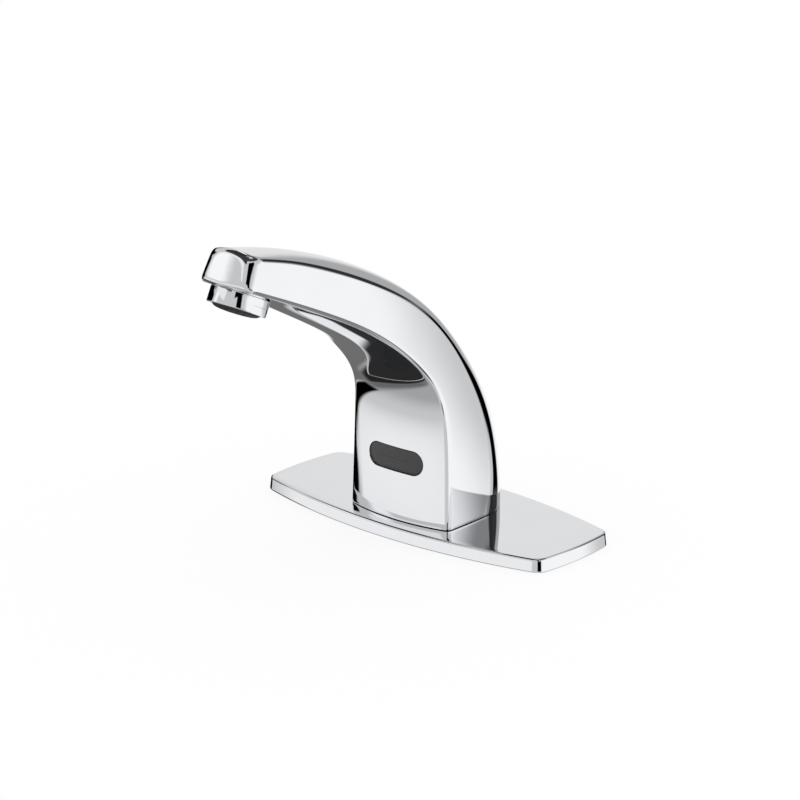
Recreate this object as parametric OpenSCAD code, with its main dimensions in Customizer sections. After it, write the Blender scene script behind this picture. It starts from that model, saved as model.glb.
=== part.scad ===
// Automatic basin tap: a hollow cast body with a curved spout and a sensor window, on a cover plate.
// Millimetres, +Z up. The origin is the centre of the deck hole, on the deck's face.
// The spout reaches towards -Y, and +X is the right hand of the person who uses it.

/* [Body] */
// How far the nose's lower edge stands in front of the deck hole
spout_reach = 125.2; // [116:0.2:134]
// Height of the nose's upper edge above the foot of the body
spout_rise = 135.3; // [128:0.1:146]
// Half of the body's width at its foot
body_half_w = 28; // [27.4:0.1:31]
// Thickness of the cast wall
body_wall = 3; // [2.4:0.1:3.4]
// Rounding of the long creases of the body
crease_r = 1.6; // [0.8:0.1:2.4]
// Rounding round the face of the nose
nose_r = 2.2; // [1.2:0.1:3]
// Rounding of the two upright corners of the nose
nose_corner_r = 5; // [3:0.1:6]
// Radius of the bosses inside the foot that take the base screws
boss_r = 4.6; // [4.2:0.1:4.7]

/* [Cover plate] */
// Length of the cover plate, across the spout
plate_length = 160; // [150:1:180]
// Width of the cover plate at its middle
plate_width = 69; // [62:0.2:72]
// Width of the cover plate at its ends, before the corners are rounded
plate_end_width = 46; // [38:0.2:50]
// Thickness of the cover plate
plate_t = 5.8; // [5:0.1:8]
// How far each end of the cover plate bows outwards
plate_end_bow = 1.9; // [1:0.1:4]
// Corner radius of the cover plate
plate_corner_r = 6.4; // [4:0.2:9]
// Thickness of the cover plate's top over its hollow underside
plate_skin = 2.6; // [2:0.1:3.4]
// Width of the rim round the cover plate's hollow underside
plate_rim = 2.8; // [2:0.1:4]
// Radius of the hole through the cover plate
plate_hole_r = 18; // [17.4:0.1:18.4]
// Thickness of the gasket between the body and the cover plate
foot_gasket_t = 0.5; // [0.3:0.1:1]

/* [Deck fixing] */
// Thickness of the deck that the tap is drawn clamped to
deck_t = 18; // [10:1:20]
// Length of the threaded shank below the deck's face
shank_below = 45; // [42:1:60]
// Outer radius of the shank's thread
shank_r = 10.45; // [10.2:0.05:10.6]
// Radius of the washers under the deck
washer_r = 18; // [16:0.5:22]
// Thickness of the rubber washer
rubber_washer_t = 3; // [2:0.5:4]
// Thickness of the steel washer
steel_washer_t = 1.5; // [1:0.1:2]
// Height of the lock nut
nut_h = 7; // [5:0.5:8]
// Width of the lock nut across its flats
nut_flats = 30; // [27:0.5:34]
// Thickness of the base insert
insert_t = 5; // [4:0.2:6]

/* [Sensor] */
// Width of the sensor window
window_w = 30.5; // [26:0.5:33]
// Height of the sensor window
window_h = 10.6; // [8:0.2:12]
// Height of the window's centre above the foot of the body
window_up = 26.3; // [25:0.1:28]
// How far the lens lies behind the face of the body
lens_recess = 0.25; // [0.1:0.05:0.5]
// Depth from the body's face to the seat of the lens
lens_depth = 5.5; // [5.2:0.1:5.8]
// Width of the sensor case
case_w = 40; // [38:0.5:41]
// Height of the sensor case
case_h = 20; // [18:0.5:20]
// Depth of the sensor case with its cover
case_depth = 6.4; // [6:0.1:6.8]

/* [Solenoid valve] */
// Distance of the valve's axis behind the shank's axis
valve_back = 4; // [3.8:0.1:4.1]
// Width of the square valve body
valve_w = 26; // [25.8:0.1:26.2]
// Height of the valve body
valve_h = 18; // [17:0.5:20]
// Outer radius of the coil
coil_r = 9.5; // [8.5:0.1:9.8]
// Length of the coil over its cheeks
coil_h = 14.3; // [13:0.1:15]
// Radius of the sensor's cable
cable_r = 1.3; // [1:0.1:1.4]
// Radius of the plunger
plunger_r = 3.4; // [3:0.1:3.5]
// Travel of the plunger
plunger_travel = 2; // [1.5:0.1:2.2]
// Travel of the diaphragm core
core_travel = 1.5; // [1:0.1:1.6]

/* [Inlet] */
// Inner radius of the shank above its shoulder
inlet_r = 6.5; // [6.3:0.05:6.7]
// Length of the check valve's cage
cage_h = 16; // [15:0.5:18]
// Travel of the check valve's poppet
poppet_travel = 3; // [2:0.5:3.5]

/* [Outlet] */
// Outer radius of the outlet tube
tube_r = 3.5; // [3:0.1:3.6]
// Wall of the outlet tube
tube_wall = 0.9; // [0.6:0.1:1.1]

/* [Aerator] */
// Outer radius of the aerator's housing
aerator_r = 12.2; // [11.8:0.1:12.6]
// Length of the aerator's housing
aerator_len = 6.7; // [6.4:0.1:7.4]
// Forward lean of the jet, in degrees
aerator_tilt = 25.5; // [22:0.5:28]
// Distance of the aerator's axis behind the nose's lower edge
aerator_setback = 11.5; // [11:0.1:12.6]
// Radius of the spout's threaded nipple
nipple_r = 10.9; // [10.7:0.1:11]

/* [Fits] */
// Clearance between pieces that lie loosely beside each other
gap = 0.3; // [0.2:0.05:0.4]
// Radial clearance of threads, sockets and screws in their holes
socket_fit = 0.1; // [0.05:0.05:0.15]
// Radial clearance of pieces that slide
running_fit = 0.06; // [0.04:0.01:0.1]

/* [Hidden] */
$fn = 64;

// How far a cut runs past the face that it opens
overrun = 1;
// Height of the body's foot above the deck
foot_z = plate_t + foot_gasket_t;

// The body is drawn through these sections, from its foot to the face of its nose.
// Each gives a lower crease and an upper crease: how far forward, how far up and how far from the
// middle plane. The last two are how far the face bulges below the lower creases and past the upper.
// Forward is a share of spout_reach, up of spout_rise, and the rest of body_half_w.
section_shares = [
    [0.169, 0.000, 1.000, -0.020, 0.000, 0.985, 0.150, 0.945],
    [0.166, 0.150, 0.980, -0.054, 0.110, 0.950, 0.135, 0.800],
    [0.168, 0.320, 0.945, -0.044, 0.270, 0.885, 0.105, 0.740],
    [0.210, 0.455, 0.880, 0.005, 0.420, 0.805, 0.135, 0.665],
    [0.323, 0.577, 0.845, 0.088, 0.565, 0.745, 0.220, 0.495],
    [0.464, 0.680, 0.785, 0.235, 0.712, 0.670, 0.280, 0.370],
    [0.621, 0.760, 0.705, 0.460, 0.838, 0.600, 0.205, 0.260],
    [0.782, 0.827, 0.620, 0.699, 0.932, 0.515, 0.110, 0.145],
    [0.895, 0.870, 0.555, 0.846, 0.974, 0.470, 0.045, 0.095],
    [1.000, 0.910, 0.530, 0.960, 1.000, 0.447, 0.020, 0.060]];
section_sizes = [spout_reach, spout_rise, body_half_w, spout_reach, spout_rise, body_half_w,
                 body_half_w, body_half_w];
sections = [for (s = section_shares) [for (i = [0 : len(s) - 1]) s[i] * section_sizes[i]]];
last_section = len(sections) - 1;

// The cavity ends at this section, and the nose beyond it is solid
cavity_end_section = 7;
rings_per_section = 3;
nose_steps = 5;
cap_from_section = 8.5;

// A point of the smooth curve through b and c, with a and d as their outer neighbours
function through(a, b, c, d, u) =
    ((2 * b) + (c - a) * u + (2 * a - 5 * b + 4 * c - d) * u * u + (3 * b - a - 3 * c + d) * u * u * u) / 2;
function along_list(list, t) =
    let (n = len(list), i = min(floor(t), n - 2), b = list[i], c = list[i + 1],
         a = i > 0 ? list[i - 1] : 2 * b - c, d = i + 2 < n ? list[i + 2] : 2 * c - b)
    through(a, b, c, d, t - i);
function section_at(t) = along_list(sections, t);

// A point of an arc of half width w and rise h, at share k of the way from its top to its end
function arc_point(w, h, k) =
    let (r = (w * w + h * h) / (2 * h), a = 2 * atan(h / w) * k) [r * sin(a), r * cos(a) - r + h];
function arc_length(w, h) = (w * w + h * h) / (2 * h) * (2 * atan(h / w)) * PI / 180;
function soft_corner(a, c, b) = (a + 2 * c + b) / 4;
function lower_crease(s) = [-s[0], foot_z + s[1]];
function upper_crease(s) = [-s[3], foot_z + s[4]];

// How far the nose is drawn in at a distance d behind its face, where it is rounded by r
function drawn_in(r, d) = d < r ? r - sqrt(r * r - (r - d) * (r - d)) : 0;
function middle(s) = (lower_crease(s) + upper_crease(s)) / 2;
nose_pitch = norm(middle(sections[last_section]) - middle(sections[last_section - 1]));

// The right half of a section drawn in by inset, and by narrow from each side, as distances from
// the middle plane and from the lower creases towards the upper ones
function half_ring(s, inset, steps, narrow) =
    let (chord = norm(upper_crease(s) - lower_crease(s)),
         wl = s[2] - inset - narrow, wu = s[5] - inset - narrow, lo = inset, hi = chord - inset, belly = s[6], crown = s[7],
         side = norm([wu - wl, hi - lo]),
         kl = 1 - crease_r / arc_length(wl, belly), ku = 1 - crease_r / arc_length(wu, crown),
         corner_l = [wl, lo], corner_u = [wu, hi], up = (corner_u - corner_l) / side,
         side_l = corner_l + up * crease_r, side_u = corner_u - up * crease_r,
         belly_end = [arc_point(wl, belly, kl).x, lo - arc_point(wl, belly, kl).y],
         crown_end = [arc_point(wu, crown, ku).x, hi + arc_point(wu, crown, ku).y])
    concat([for (i = [0 : steps - 1]) let (p = arc_point(wl, belly, kl * i / steps)) [p.x, lo - p.y]],
           [belly_end, soft_corner(belly_end, corner_l, side_l), side_l, (side_l + side_u) / 2, side_u,
            soft_corner(side_u, corner_u, crown_end), crown_end],
           [for (i = [steps : -1 : 0]) let (p = arc_point(wu, crown, ku * i / (steps + 1))) [p.x, hi + p.y]]);
function ring(s, inset, steps, narrow = 0) =
    let (half = half_ring(s, inset, steps, narrow), n = len(half), lo = lower_crease(s),
         d = (upper_crease(s) - lo) / norm(upper_crease(s) - lo),
         full = concat(half, [for (i = [n - 2 : -1 : 1]) [-half[i].x, half[i].y]]))
    [for (p = full) [p.x, lo.x + d.x * p.y, lo.y + d.y * p.y]];

// A closed solid through rings that all have the same number of points
module loft(rings) {
    n = len(rings[0]);
    m = len(rings);
    polyhedron(
        points = [for (r = rings) each r],
        faces = concat(
            [[for (i = [0 : n - 1]) i]],
            [[for (i = [n - 1 : -1 : 0]) (m - 1) * n + i]],
            [for (j = [0 : m - 2], i = [0 : n - 1])
                [j * n + i, (j + 1) * n + i, j * n + (i + 1) % n]],
            [for (j = [0 : m - 2], i = [0 : n - 1])
                [j * n + (i + 1) % n, (j + 1) * n + i, (j + 1) * n + (i + 1) % n]]),
        convexity = 6);
}

// A tube's rings round a smooth path
function unit(v) = v / norm(v);
function path_point(path, t) = along_list(path, t);
function path_heading(path, t) =
    let (last = len(path) - 1, h = 0.05, a = max(t - h, 0), b = min(t + h, last))
    unit(path_point(path, b) - path_point(path, a));
function tube_ring(path, t, r, sides) =
    let (h = path_heading(path, t), u = unit(cross(h, [1, 0, 0])), w = cross(h, u), c = path_point(path, t))
    [for (i = [0 : sides - 1]) c + r * (cos(360 * i / sides) * u + sin(360 * i / sides) * w)];
module swept_rod(path, r, sides, per_span) {
    spans = (len(path) - 1) * per_span;
    loft([for (k = [0 : spans]) tube_ring(path, k / per_span, r, sides)]);
}

// Where the front face's middle lies at a height above the foot, and how it bows there
front_span = 3;
front_samples = 24;
front_table = [for (k = [0 : front_samples]) let (s = section_at(front_span * k / front_samples)) s];
function front_value(up, i) = lookup(up, [for (s = front_table) [s[1], s[i]]]);
function front_y(up) = -front_value(up, 0) - front_value(up, 6);
window_z = foot_z + window_up;
face_y = front_y(window_up);
face_bow_r = let (w = front_value(window_up, 2), h = front_value(window_up, 6)) (w * w + h * h) / (2 * h);

// Foot: the inside of the casting there, and the insert that closes it
foot = sections[0];
foot_back_y = -foot[3];
insert_side_gap = 1;
insert_half_w = body_half_w - body_wall - insert_side_gap;
insert_round_r = foot[7] - body_wall - insert_side_gap;
insert_front_y = -foot[0] + body_wall + insert_side_gap;
insert_lift = 0.7;
insert_z = foot_z + insert_lift;
insert_top = insert_z + insert_t;
boss_bite = 0.4;
boss_side_x = body_half_w - body_wall - boss_r + boss_bite;
boss_forward = 10;
boss_side_y = -boss_forward;
boss_back_y = foot_back_y + foot[7] - body_wall - boss_r + boss_bite;
boss_places = [[-boss_side_x, boss_side_y], [boss_side_x, boss_side_y], [0, boss_back_y]];
boss_h = 9;
base_screw_r = 2;
base_screw_head_r = 3.3;
base_screw_head_h = 2.2;
base_screw_grip = 8;
pin_r = 1.5;
pin_x = 19.5;
pin_y = 8;
pin_reach = 3;
grommet_out = 16;
grommet_x = -grommet_out;
grommet_r = 2.8;
grommet_lip = 0.6;
grommet_lip_h = 1;

// Shank and what is threaded on it
shank_flange_r = 12.5;
shank_flange_h = 2;
shank_shoulder = 0.7;
shank_chamfer = 0.8;
relief_depth = 0.9;
relief_h = 1.5;
supply_thread = 11;
washer_clearance = 0.35;
washer_bore_r = shank_r + washer_clearance;
flange_top = insert_top + shank_flange_h;
nut_z = -deck_t - rubber_washer_t - steel_washer_t - nut_h;
hex_share = 1 / cos(30);

// Check valve and filter inside the shank
cage_below = 16;
cage_z = -cage_below;
cage_r = inlet_r - socket_fit;
cage_seat_h = 3;
cage_seat_r = 3.5;
cage_room_r = 5.2;
cage_top_h = 2;
cage_vent_r = 1.1;
cage_vent_ring_r = 3.9;
cage_vents = 6;
cage_top = cage_z + cage_h;
stem_r = 1.5;
stem_guide_wall = 0.6;
poppet_r = 4.6;
poppet_h = 1.8;
stem_stand = 1;
rest_gap = 0.05;
poppet_z = cage_z + cage_seat_h + rest_gap;
check_spring_wall = 0.6;
filter_h = 14;
filter_wall = 0.8;
filter_flange_h = 1.5;
filter_slots = 8;
filter_slot_w = 1.6;
ring_section_r = 0.7;
groove_h = 1.6;
groove_depth = 2 * ring_section_r + running_fit;

// Solenoid valve
valve_y = valve_back;
valve_z = flange_top;
valve_top = valve_z + valve_h;
valve_corner_r = 3;
valve_foot_x = 10;
valve_foot_back = 9.5;
valve_foot_y = valve_y + valve_foot_back;
valve_foot_r = 2.6;
small_screw_r = 1.5;
small_head_r = 2.6;
small_head_h = 1.8;
valve_screw_place = 10.2;
valve_screw_grip = 5;
spigot_h = 6;
spigot_bore_r = 4;
spigot_bore_up = 2.5;
passage_r = 2.5;
passage_front = 8.5;
chamber_r = 11.5;
chamber_floor_up = 12;
seat_r = 4.5;
seat_bore_r = 3;
outlet_up = 7;
port_depth = 4;
port_r = 4;
diaphragm_t = 1.2;
diaphragm_r = 12.2;
core_r = 5.5;
washer_t = 0.95;
core_h = 2;
pilot_r = 0.5;
bonnet_z = valve_top + diaphragm_t;
bonnet_room_r = 9;
bonnet_room_h = 3.8;
bonnet_h = 5.8;
tube_flange_r = 6;
tube_flange_h = 1.2;
armature_wall = 0.74;
armature_r = plunger_r + running_fit + armature_wall;
core_top = valve_top + rest_gap + washer_t + core_h;
seal_z = core_top + rest_gap;
seal_h = 1.95;
seal_r = 2;
plunger_h = 13;
plunger_z = seal_z + seal_h;
plunger_top = plunger_z + plunger_h;
stop_gap = 0.2;
stop_z = plunger_top + plunger_travel + stop_gap;
spring_r = 2;
spring_wall = 0.6;
spring_pocket_h = 6;
bonnet_top = bonnet_z + bonnet_h;
yoke_t = 1.2;
yoke_w = 14;
coil_z = bonnet_top + yoke_t;
coil_top = coil_z + coil_h;
yoke_top = coil_top + yoke_t;
armature_top = yoke_top - gap;
bobbin_wall = 0.9;
cheek_t = 1.2;
stud_r = 2.5;
stud_h = 4.4;
coil_nut_h = 3;
coil_nut_flats = 8;
terminal_w = 6;
terminal_depth = 2.2;
terminal_h = 3.5;

// Outlet from the valve to the nose
elbow_r = 4.5;
elbow_x = valve_w / 2 + elbow_r;
elbow_z = valve_z + outlet_up;
elbow_up = 8;
elbow_below = 4;
tube_socket_h = 4;
tube_lead_in = 5;
tube_sides = 12;
tube_steps = 3;
// Middle points of the tube's route: out as a share of body_half_w, forward of spout_reach, up of
// spout_rise
tube_route_shares = [[0.59, -0.01, 0.29], [0.50, 0.05, 0.40], [0.39, 0.137, 0.51],
                     [0.27, 0.244, 0.62], [0.14, 0.376, 0.715], [0.03, 0.518, 0.79]];

// Nose: its lower edge carries the aerator's frame
nose_z = foot_z + sections[last_section][1];
chamber_bore_r = 8.5;
throat_r = 6.2;
throat_up = 8;
nipple_h = 3.3;
nose_bore_up = 5;
nose_bore_slope = 19;
nose_bore_r = 3;
tube_end_at = 11.5;
tube_grip = 6;
tube_ring_pocket_r = 5;
tube_ring_at = 17.5;
tube_tail = 30;
seat_cut_depth = 4;
nose_axis_y = -spout_reach + aerator_setback * cos(aerator_tilt) + nose_bore_up * sin(aerator_tilt);
nose_axis_z = nose_z - aerator_setback * sin(aerator_tilt) + nose_bore_up * cos(aerator_tilt);
function nose_bore_point(d) =
    [0, nose_axis_y + d * cos(nose_bore_slope), nose_axis_z - d * sin(nose_bore_slope)];
tube_route = concat(
    [for (up = [tube_socket_h + gap, elbow_up, elbow_up + tube_lead_in]) [elbow_x, valve_y, elbow_z + up]],
    [for (p = tube_route_shares) [p.x * body_half_w, -p.y * spout_reach, foot_z + p.z * spout_rise]],
    [for (d = [tube_tail, tube_ring_at + 2 * tube_r, tube_end_at + gap]) nose_bore_point(d)]);

// Sensor assembly behind the window
seat_y = face_y + lens_depth;
pad_w = 40;
pad_h = 19;
pad_t = 3;
lens_fit = 0.15;
lens_flange = 2;
lens_flange_t = 1.4;
lens_gasket_t = 0.6;
lens_back_y = seat_y + lens_gasket_t + lens_flange_t;
case_y = lens_back_y;
case_wall = 1.2;
cover_t = 1.2;
cover_y = case_y + case_depth - cover_t;
ear_w = 8;
ear_t = 2;
ear_out = 4;
ear_h = 7.5;
ear_boss_r = 3;
ear_boss_skin = 2;
sensor_screw_y = case_y + ear_t;
sensor_screw_grip = 4.5;
board_t = 1;
board_gap = 0.4;
board_y = cover_y - board_t - board_gap;
diode_r = 1.9;
diode_flange = 0.4;
diode_flange_h = 0.6;
diode_x = 8;
led_r = 1.1;
cable_out = 14.5;
cable_x = -cable_out;
cable_drop = 2;
cable_rise = 5;
lead_r = 1;
lead_out = 8;
lead_x = -lead_out;
lead_drop = 2.5;
lead_rise = 2;

// Aerator: the insert, its screen and its gasket hang in the housing
housing_gap = gap;
housing_lip_h = 1.2;
housing_lip_r = 10;
flat_depth = 0.8;
flat_h = 3.2;
insert_flange_h = 0.8;
insert_nose_r = housing_lip_r - gap;
insert_nose_out = 0.9;
insert_body_r = chamber_bore_r - gap;
insert_body_up = 2.6;
jet_r = 0.8;
jet_pitch = 2.7;
jet_rings = 3;
screen_t = 0.6;
screen_hole_r = 0.5;
screen_pitch = 1.9;
screen_rings = 3;
jet_open_r = insert_body_r - jet_r - gap;

// The cover plate's outline, drawn in by inset: bowed sides, bowed ends and round corners
side_bow = (plate_width - plate_end_width) / 2;
end_half = plate_length / 2 - plate_end_bow;
side_arc_r = (end_half * end_half + side_bow * side_bow) / (2 * side_bow);
end_arc_r = (pow(plate_end_width / 2, 2) + plate_end_bow * plate_end_bow) / (2 * plate_end_bow);
side_arc_y = side_arc_r - plate_width / 2;
end_arc_x = plate_length / 2 - end_arc_r;
corner_span = norm([end_arc_x, side_arc_y]);
corner_side = side_arc_r - plate_corner_r;
corner_end = end_arc_r - plate_corner_r;
corner_open = acos((pow(corner_side, 2) + corner_span * corner_span - pow(corner_end, 2))
                   / (2 * corner_side * corner_span));
corner_dir = atan2(-side_arc_y, end_arc_x) + corner_open;
corner_at = [corner_side * cos(corner_dir), side_arc_y + corner_side * sin(corner_dir)];
side_angle = atan2(corner_at.y - side_arc_y, corner_at.x);
end_angle = atan2(corner_at.y, corner_at.x - end_arc_x);
outline_steps = 10;
corner_steps = 6;
function plate_quarter(inset) = concat(
    [for (i = [0 : outline_steps]) let (a = -90 + (side_angle + 90) * i / outline_steps,
                                        r = side_arc_r - inset)
        [r * cos(a), side_arc_y + r * sin(a)]],
    [for (i = [1 : corner_steps]) let (a = side_angle + (end_angle - side_angle) * i / corner_steps,
                                       r = plate_corner_r - inset)
        corner_at + r * [cos(a), sin(a)]],
    [for (i = [1 : corner_steps]) let (a = end_angle * (1 - i / corner_steps), r = end_arc_r - inset)
        [end_arc_x + r * cos(a), r * sin(a)]]);
function plate_outline(inset) =
    let (q = plate_quarter(inset), n = len(q))
    concat(q, [for (i = [n - 2 : -1 : 0]) [q[i].x, -q[i].y]],
           [for (i = [1 : n - 1]) [-q[i].x, -q[i].y]], [for (i = [n - 2 : -1 : 1]) [-q[i].x, q[i].y]]);

// The foot's outline, drawn in by inset
foot_steps = 8;
function foot_outline(inset) = [for (p = ring(foot, inset, foot_steps)) [p.x, p.y]];
gasket_inset = 0.5;
gasket_w = 2;

module pipe(h, r, bore, z = 0) {
    translate([0, 0, z]) difference() {
        cylinder(h = h, r = r);
        translate([0, 0, -overrun]) cylinder(h = h + 2 * overrun, r = bore);
    }
}
module o_ring(major, minor) {
    rotate_extrude() translate([major, 0]) circle(r = minor, $fn = 24);
}
module pill(w, h, depth) {
    rotate([-90, 0, 0]) linear_extrude(depth) {
        square([w - h, h], center = true);
        for (s = [-1, 1]) translate([s * (w - h) / 2, 0]) circle(d = h);
    }
}
module rounded_block(w, h, r) {
    linear_extrude(h) {
        square([w - 2 * r, w], center = true);
        square([w, w - 2 * r], center = true);
        for (x = [-1, 1], y = [-1, 1]) translate([x, y] * (w / 2 - r)) circle(r = r);
    }
}
module hex_nut(h, flats, bore) {
    difference() {
        cylinder(h = h, r = flats / 2 * hex_share, $fn = 6);
        translate([0, 0, -overrun]) cylinder(h = h + 2 * overrun, r = bore);
    }
}
// A screw whose head's underside is at z = 0, with its shank upwards
module screw_up(r, grip, head_r, head_h) {
    cylinder(h = grip, r = r);
    translate([0, 0, -head_h]) difference() {
        cylinder(h = head_h, r = head_r);
        translate([0, 0, -overrun]) cylinder(h = overrun + head_h / 2, r = r, $fn = 6);
    }
}
module at_nose() {
    translate([0, -spout_reach, nose_z]) rotate([-aerator_tilt, 0, 0])
        translate([0, aerator_setback, 0]) children();
}
module at_valve(z) {
    translate([0, valve_y, z]) children();
}
module along_nose_bore(d) {
    translate(nose_bore_point(d)) rotate([90 + nose_bore_slope, 0, 180]) children();
}

module body_shell() {
    difference() {
        loft(concat(
            [for (k = [0 : floor(cap_from_section * rings_per_section)])
                ring(section_at(k / rings_per_section), 0, foot_steps)],
            [for (j = [0 : nose_steps])
                let (d = nose_corner_r * (1 - sin(90 * j / nose_steps)), inset = drawn_in(nose_r, d))
                ring(section_at(last_section - d / nose_pitch), inset, foot_steps,
                     drawn_in(nose_corner_r, d) - inset)]));
        loft(concat(
            [[for (p = ring(foot, body_wall, foot_steps / 2)) p - [0, 0, overrun]]],
            [for (k = [0 : cavity_end_section * rings_per_section - 1])
                ring(section_at((k + 1) / rings_per_section), body_wall, foot_steps / 2)]));
        at_nose() translate([0, 0, -seat_cut_depth]) cylinder(h = seat_cut_depth, r = aerator_r + gap);
    }
}
module spout_body() color("silver") {
    difference() {
        union() {
            body_shell();
            translate([-pad_w / 2, seat_y - pad_t, window_z - pad_h / 2]) cube([pad_w, pad_t, pad_h]);
            for (p = boss_places) translate([p.x, p.y, insert_top]) cylinder(h = boss_h, r = boss_r);
            for (s = [-1, 1]) translate([0, face_y + ear_boss_skin, window_z + s * (case_h / 2 + ear_out)])
                rotate([-90, 0, 0]) cylinder(h = case_y - face_y - ear_boss_skin, r = ear_boss_r);
            at_nose() translate([0, 0, -nipple_h]) cylinder(h = nipple_h + gap, r = nipple_r);
        }
        translate([0, face_y - overrun, window_z]) pill(window_w, window_h, lens_depth + 2 * overrun);
        for (p = boss_places) translate([p.x, p.y, insert_top - overrun])
            cylinder(h = base_screw_grip + 2 * overrun, r = base_screw_r + socket_fit);
        for (s = [-1, 1]) translate([0, case_y - sensor_screw_grip, window_z + s * (case_h / 2 + ear_out)])
            rotate([-90, 0, 0]) cylinder(h = sensor_screw_grip + overrun, r = small_screw_r + socket_fit);
        at_nose() translate([0, 0, -nipple_h - overrun]) {
            cylinder(h = nipple_h + overrun, r = chamber_bore_r);
            cylinder(h = nipple_h + overrun + throat_up, r = throat_r);
        }
        along_nose_bore(0) cylinder(h = tube_tail, r = nose_bore_r);
        along_nose_bore(tube_end_at) cylinder(h = tube_tail - tube_end_at, r = tube_r + socket_fit);
        along_nose_bore(tube_ring_at) cylinder(h = tube_tail - tube_ring_at, r = tube_ring_pocket_r);
    }
}

module cover_plate() color("silver") {
    difference() {
        union() {
            difference() {
                linear_extrude(plate_t) polygon(plate_outline(0));
                translate([0, 0, -overrun]) linear_extrude(plate_t - plate_skin + overrun)
                    polygon(plate_outline(plate_rim));
            }
            cylinder(h = plate_t - overrun / 2, r = plate_hole_r + plate_rim);
        }
        translate([0, 0, -overrun]) cylinder(h = plate_t + 2 * overrun, r = plate_hole_r);
        for (s = [-1, 1]) translate([s * pin_x, pin_y, -overrun])
            cylinder(h = plate_t + 2 * overrun, r = pin_r + socket_fit);
    }
}
module deck_gasket() color("dimgray") {
    linear_extrude(plate_t - plate_skin) difference() {
        polygon(plate_outline(plate_rim + gap));
        circle(r = plate_hole_r + plate_rim + gap);
    }
}
module foot_gasket() color("black") {
    translate([0, 0, plate_t]) linear_extrude(foot_gasket_t) difference() {
        polygon(foot_outline(gasket_inset));
        polygon(foot_outline(gasket_inset + gasket_w));
    }
}

module insert_outline() {
    translate([0, foot_back_y]) circle(r = insert_round_r);
    translate([-insert_half_w, insert_front_y]) square([2 * insert_half_w, foot_back_y - insert_front_y]);
}
module base_insert() color("goldenrod") {
    translate([0, 0, insert_z]) difference() {
        linear_extrude(insert_t) insert_outline();
        translate([0, 0, -overrun]) cylinder(h = insert_t + 2 * overrun, r = shank_r + socket_fit);
        for (p = boss_places) translate([p.x, p.y, -overrun]) {
            cylinder(h = insert_t + 2 * overrun, r = base_screw_r + socket_fit);
            cylinder(h = overrun + base_screw_head_h, r = base_screw_head_r + socket_fit);
        }
        for (s = [-1, 1]) translate([s * valve_foot_x, valve_foot_y, -overrun]) {
            cylinder(h = insert_t + 2 * overrun, r = small_screw_r + socket_fit);
            cylinder(h = overrun + small_head_h, r = small_head_r + socket_fit);
        }
        for (s = [-1, 1]) translate([s * pin_x, pin_y, -overrun])
            cylinder(h = overrun + pin_reach, r = pin_r + socket_fit);
        translate([grommet_x, 0, -overrun]) cylinder(h = insert_t + 2 * overrun, r = grommet_r);
    }
}
module base_screws() color("gainsboro") {
    for (p = boss_places) translate([p.x, p.y, insert_z + base_screw_head_h])
        screw_up(base_screw_r, insert_t - base_screw_head_h + base_screw_grip, base_screw_head_r,
                 base_screw_head_h);
}
module locating_pins() color("gainsboro") {
    for (s = [-1, 1]) translate([s * pin_x, pin_y, plate_t - plate_skin])
        cylinder(h = plate_skin + foot_gasket_t + insert_lift + pin_reach, r = pin_r);
}
module cable_grommet() color("black") {
    translate([grommet_x, 0, insert_z]) difference() {
        union() {
            cylinder(h = insert_t, r = grommet_r);
            translate([0, 0, insert_t]) cylinder(h = grommet_lip_h, r = grommet_r + grommet_lip);
        }
        translate([0, 0, -overrun])
            cylinder(h = insert_t + grommet_lip_h + 2 * overrun, r = cable_r + socket_fit);
    }
}

module inlet_shank() color("goldenrod") {
    difference() {
        rotate_extrude() polygon([
            [0, -shank_below], [shank_r - shank_chamfer, -shank_below],
            [shank_r, -shank_below + shank_chamfer], [shank_r, -shank_below + supply_thread],
            [shank_r - relief_depth, -shank_below + supply_thread],
            [shank_r - relief_depth, -shank_below + supply_thread + relief_h],
            [shank_r, -shank_below + supply_thread + relief_h], [shank_r, insert_top],
            [shank_flange_r, insert_top], [shank_flange_r, flange_top], [0, flange_top]]);
        translate([0, 0, cage_z]) cylinder(h = flange_top - cage_z + overrun, r = inlet_r);
        translate([0, 0, -shank_below - overrun])
            cylinder(h = shank_below + 2 * overrun + cage_z, r = inlet_r - shank_shoulder);
    }
}
module rubber_washer() color("black") {
    pipe(rubber_washer_t, washer_r, washer_bore_r, -deck_t - rubber_washer_t);
}
module steel_washer() color("gainsboro") {
    pipe(steel_washer_t, washer_r, washer_bore_r, -deck_t - rubber_washer_t - steel_washer_t);
}
module lock_nut() color("goldenrod") {
    translate([0, 0, nut_z]) hex_nut(nut_h, nut_flats, shank_r + socket_fit);
}

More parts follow.
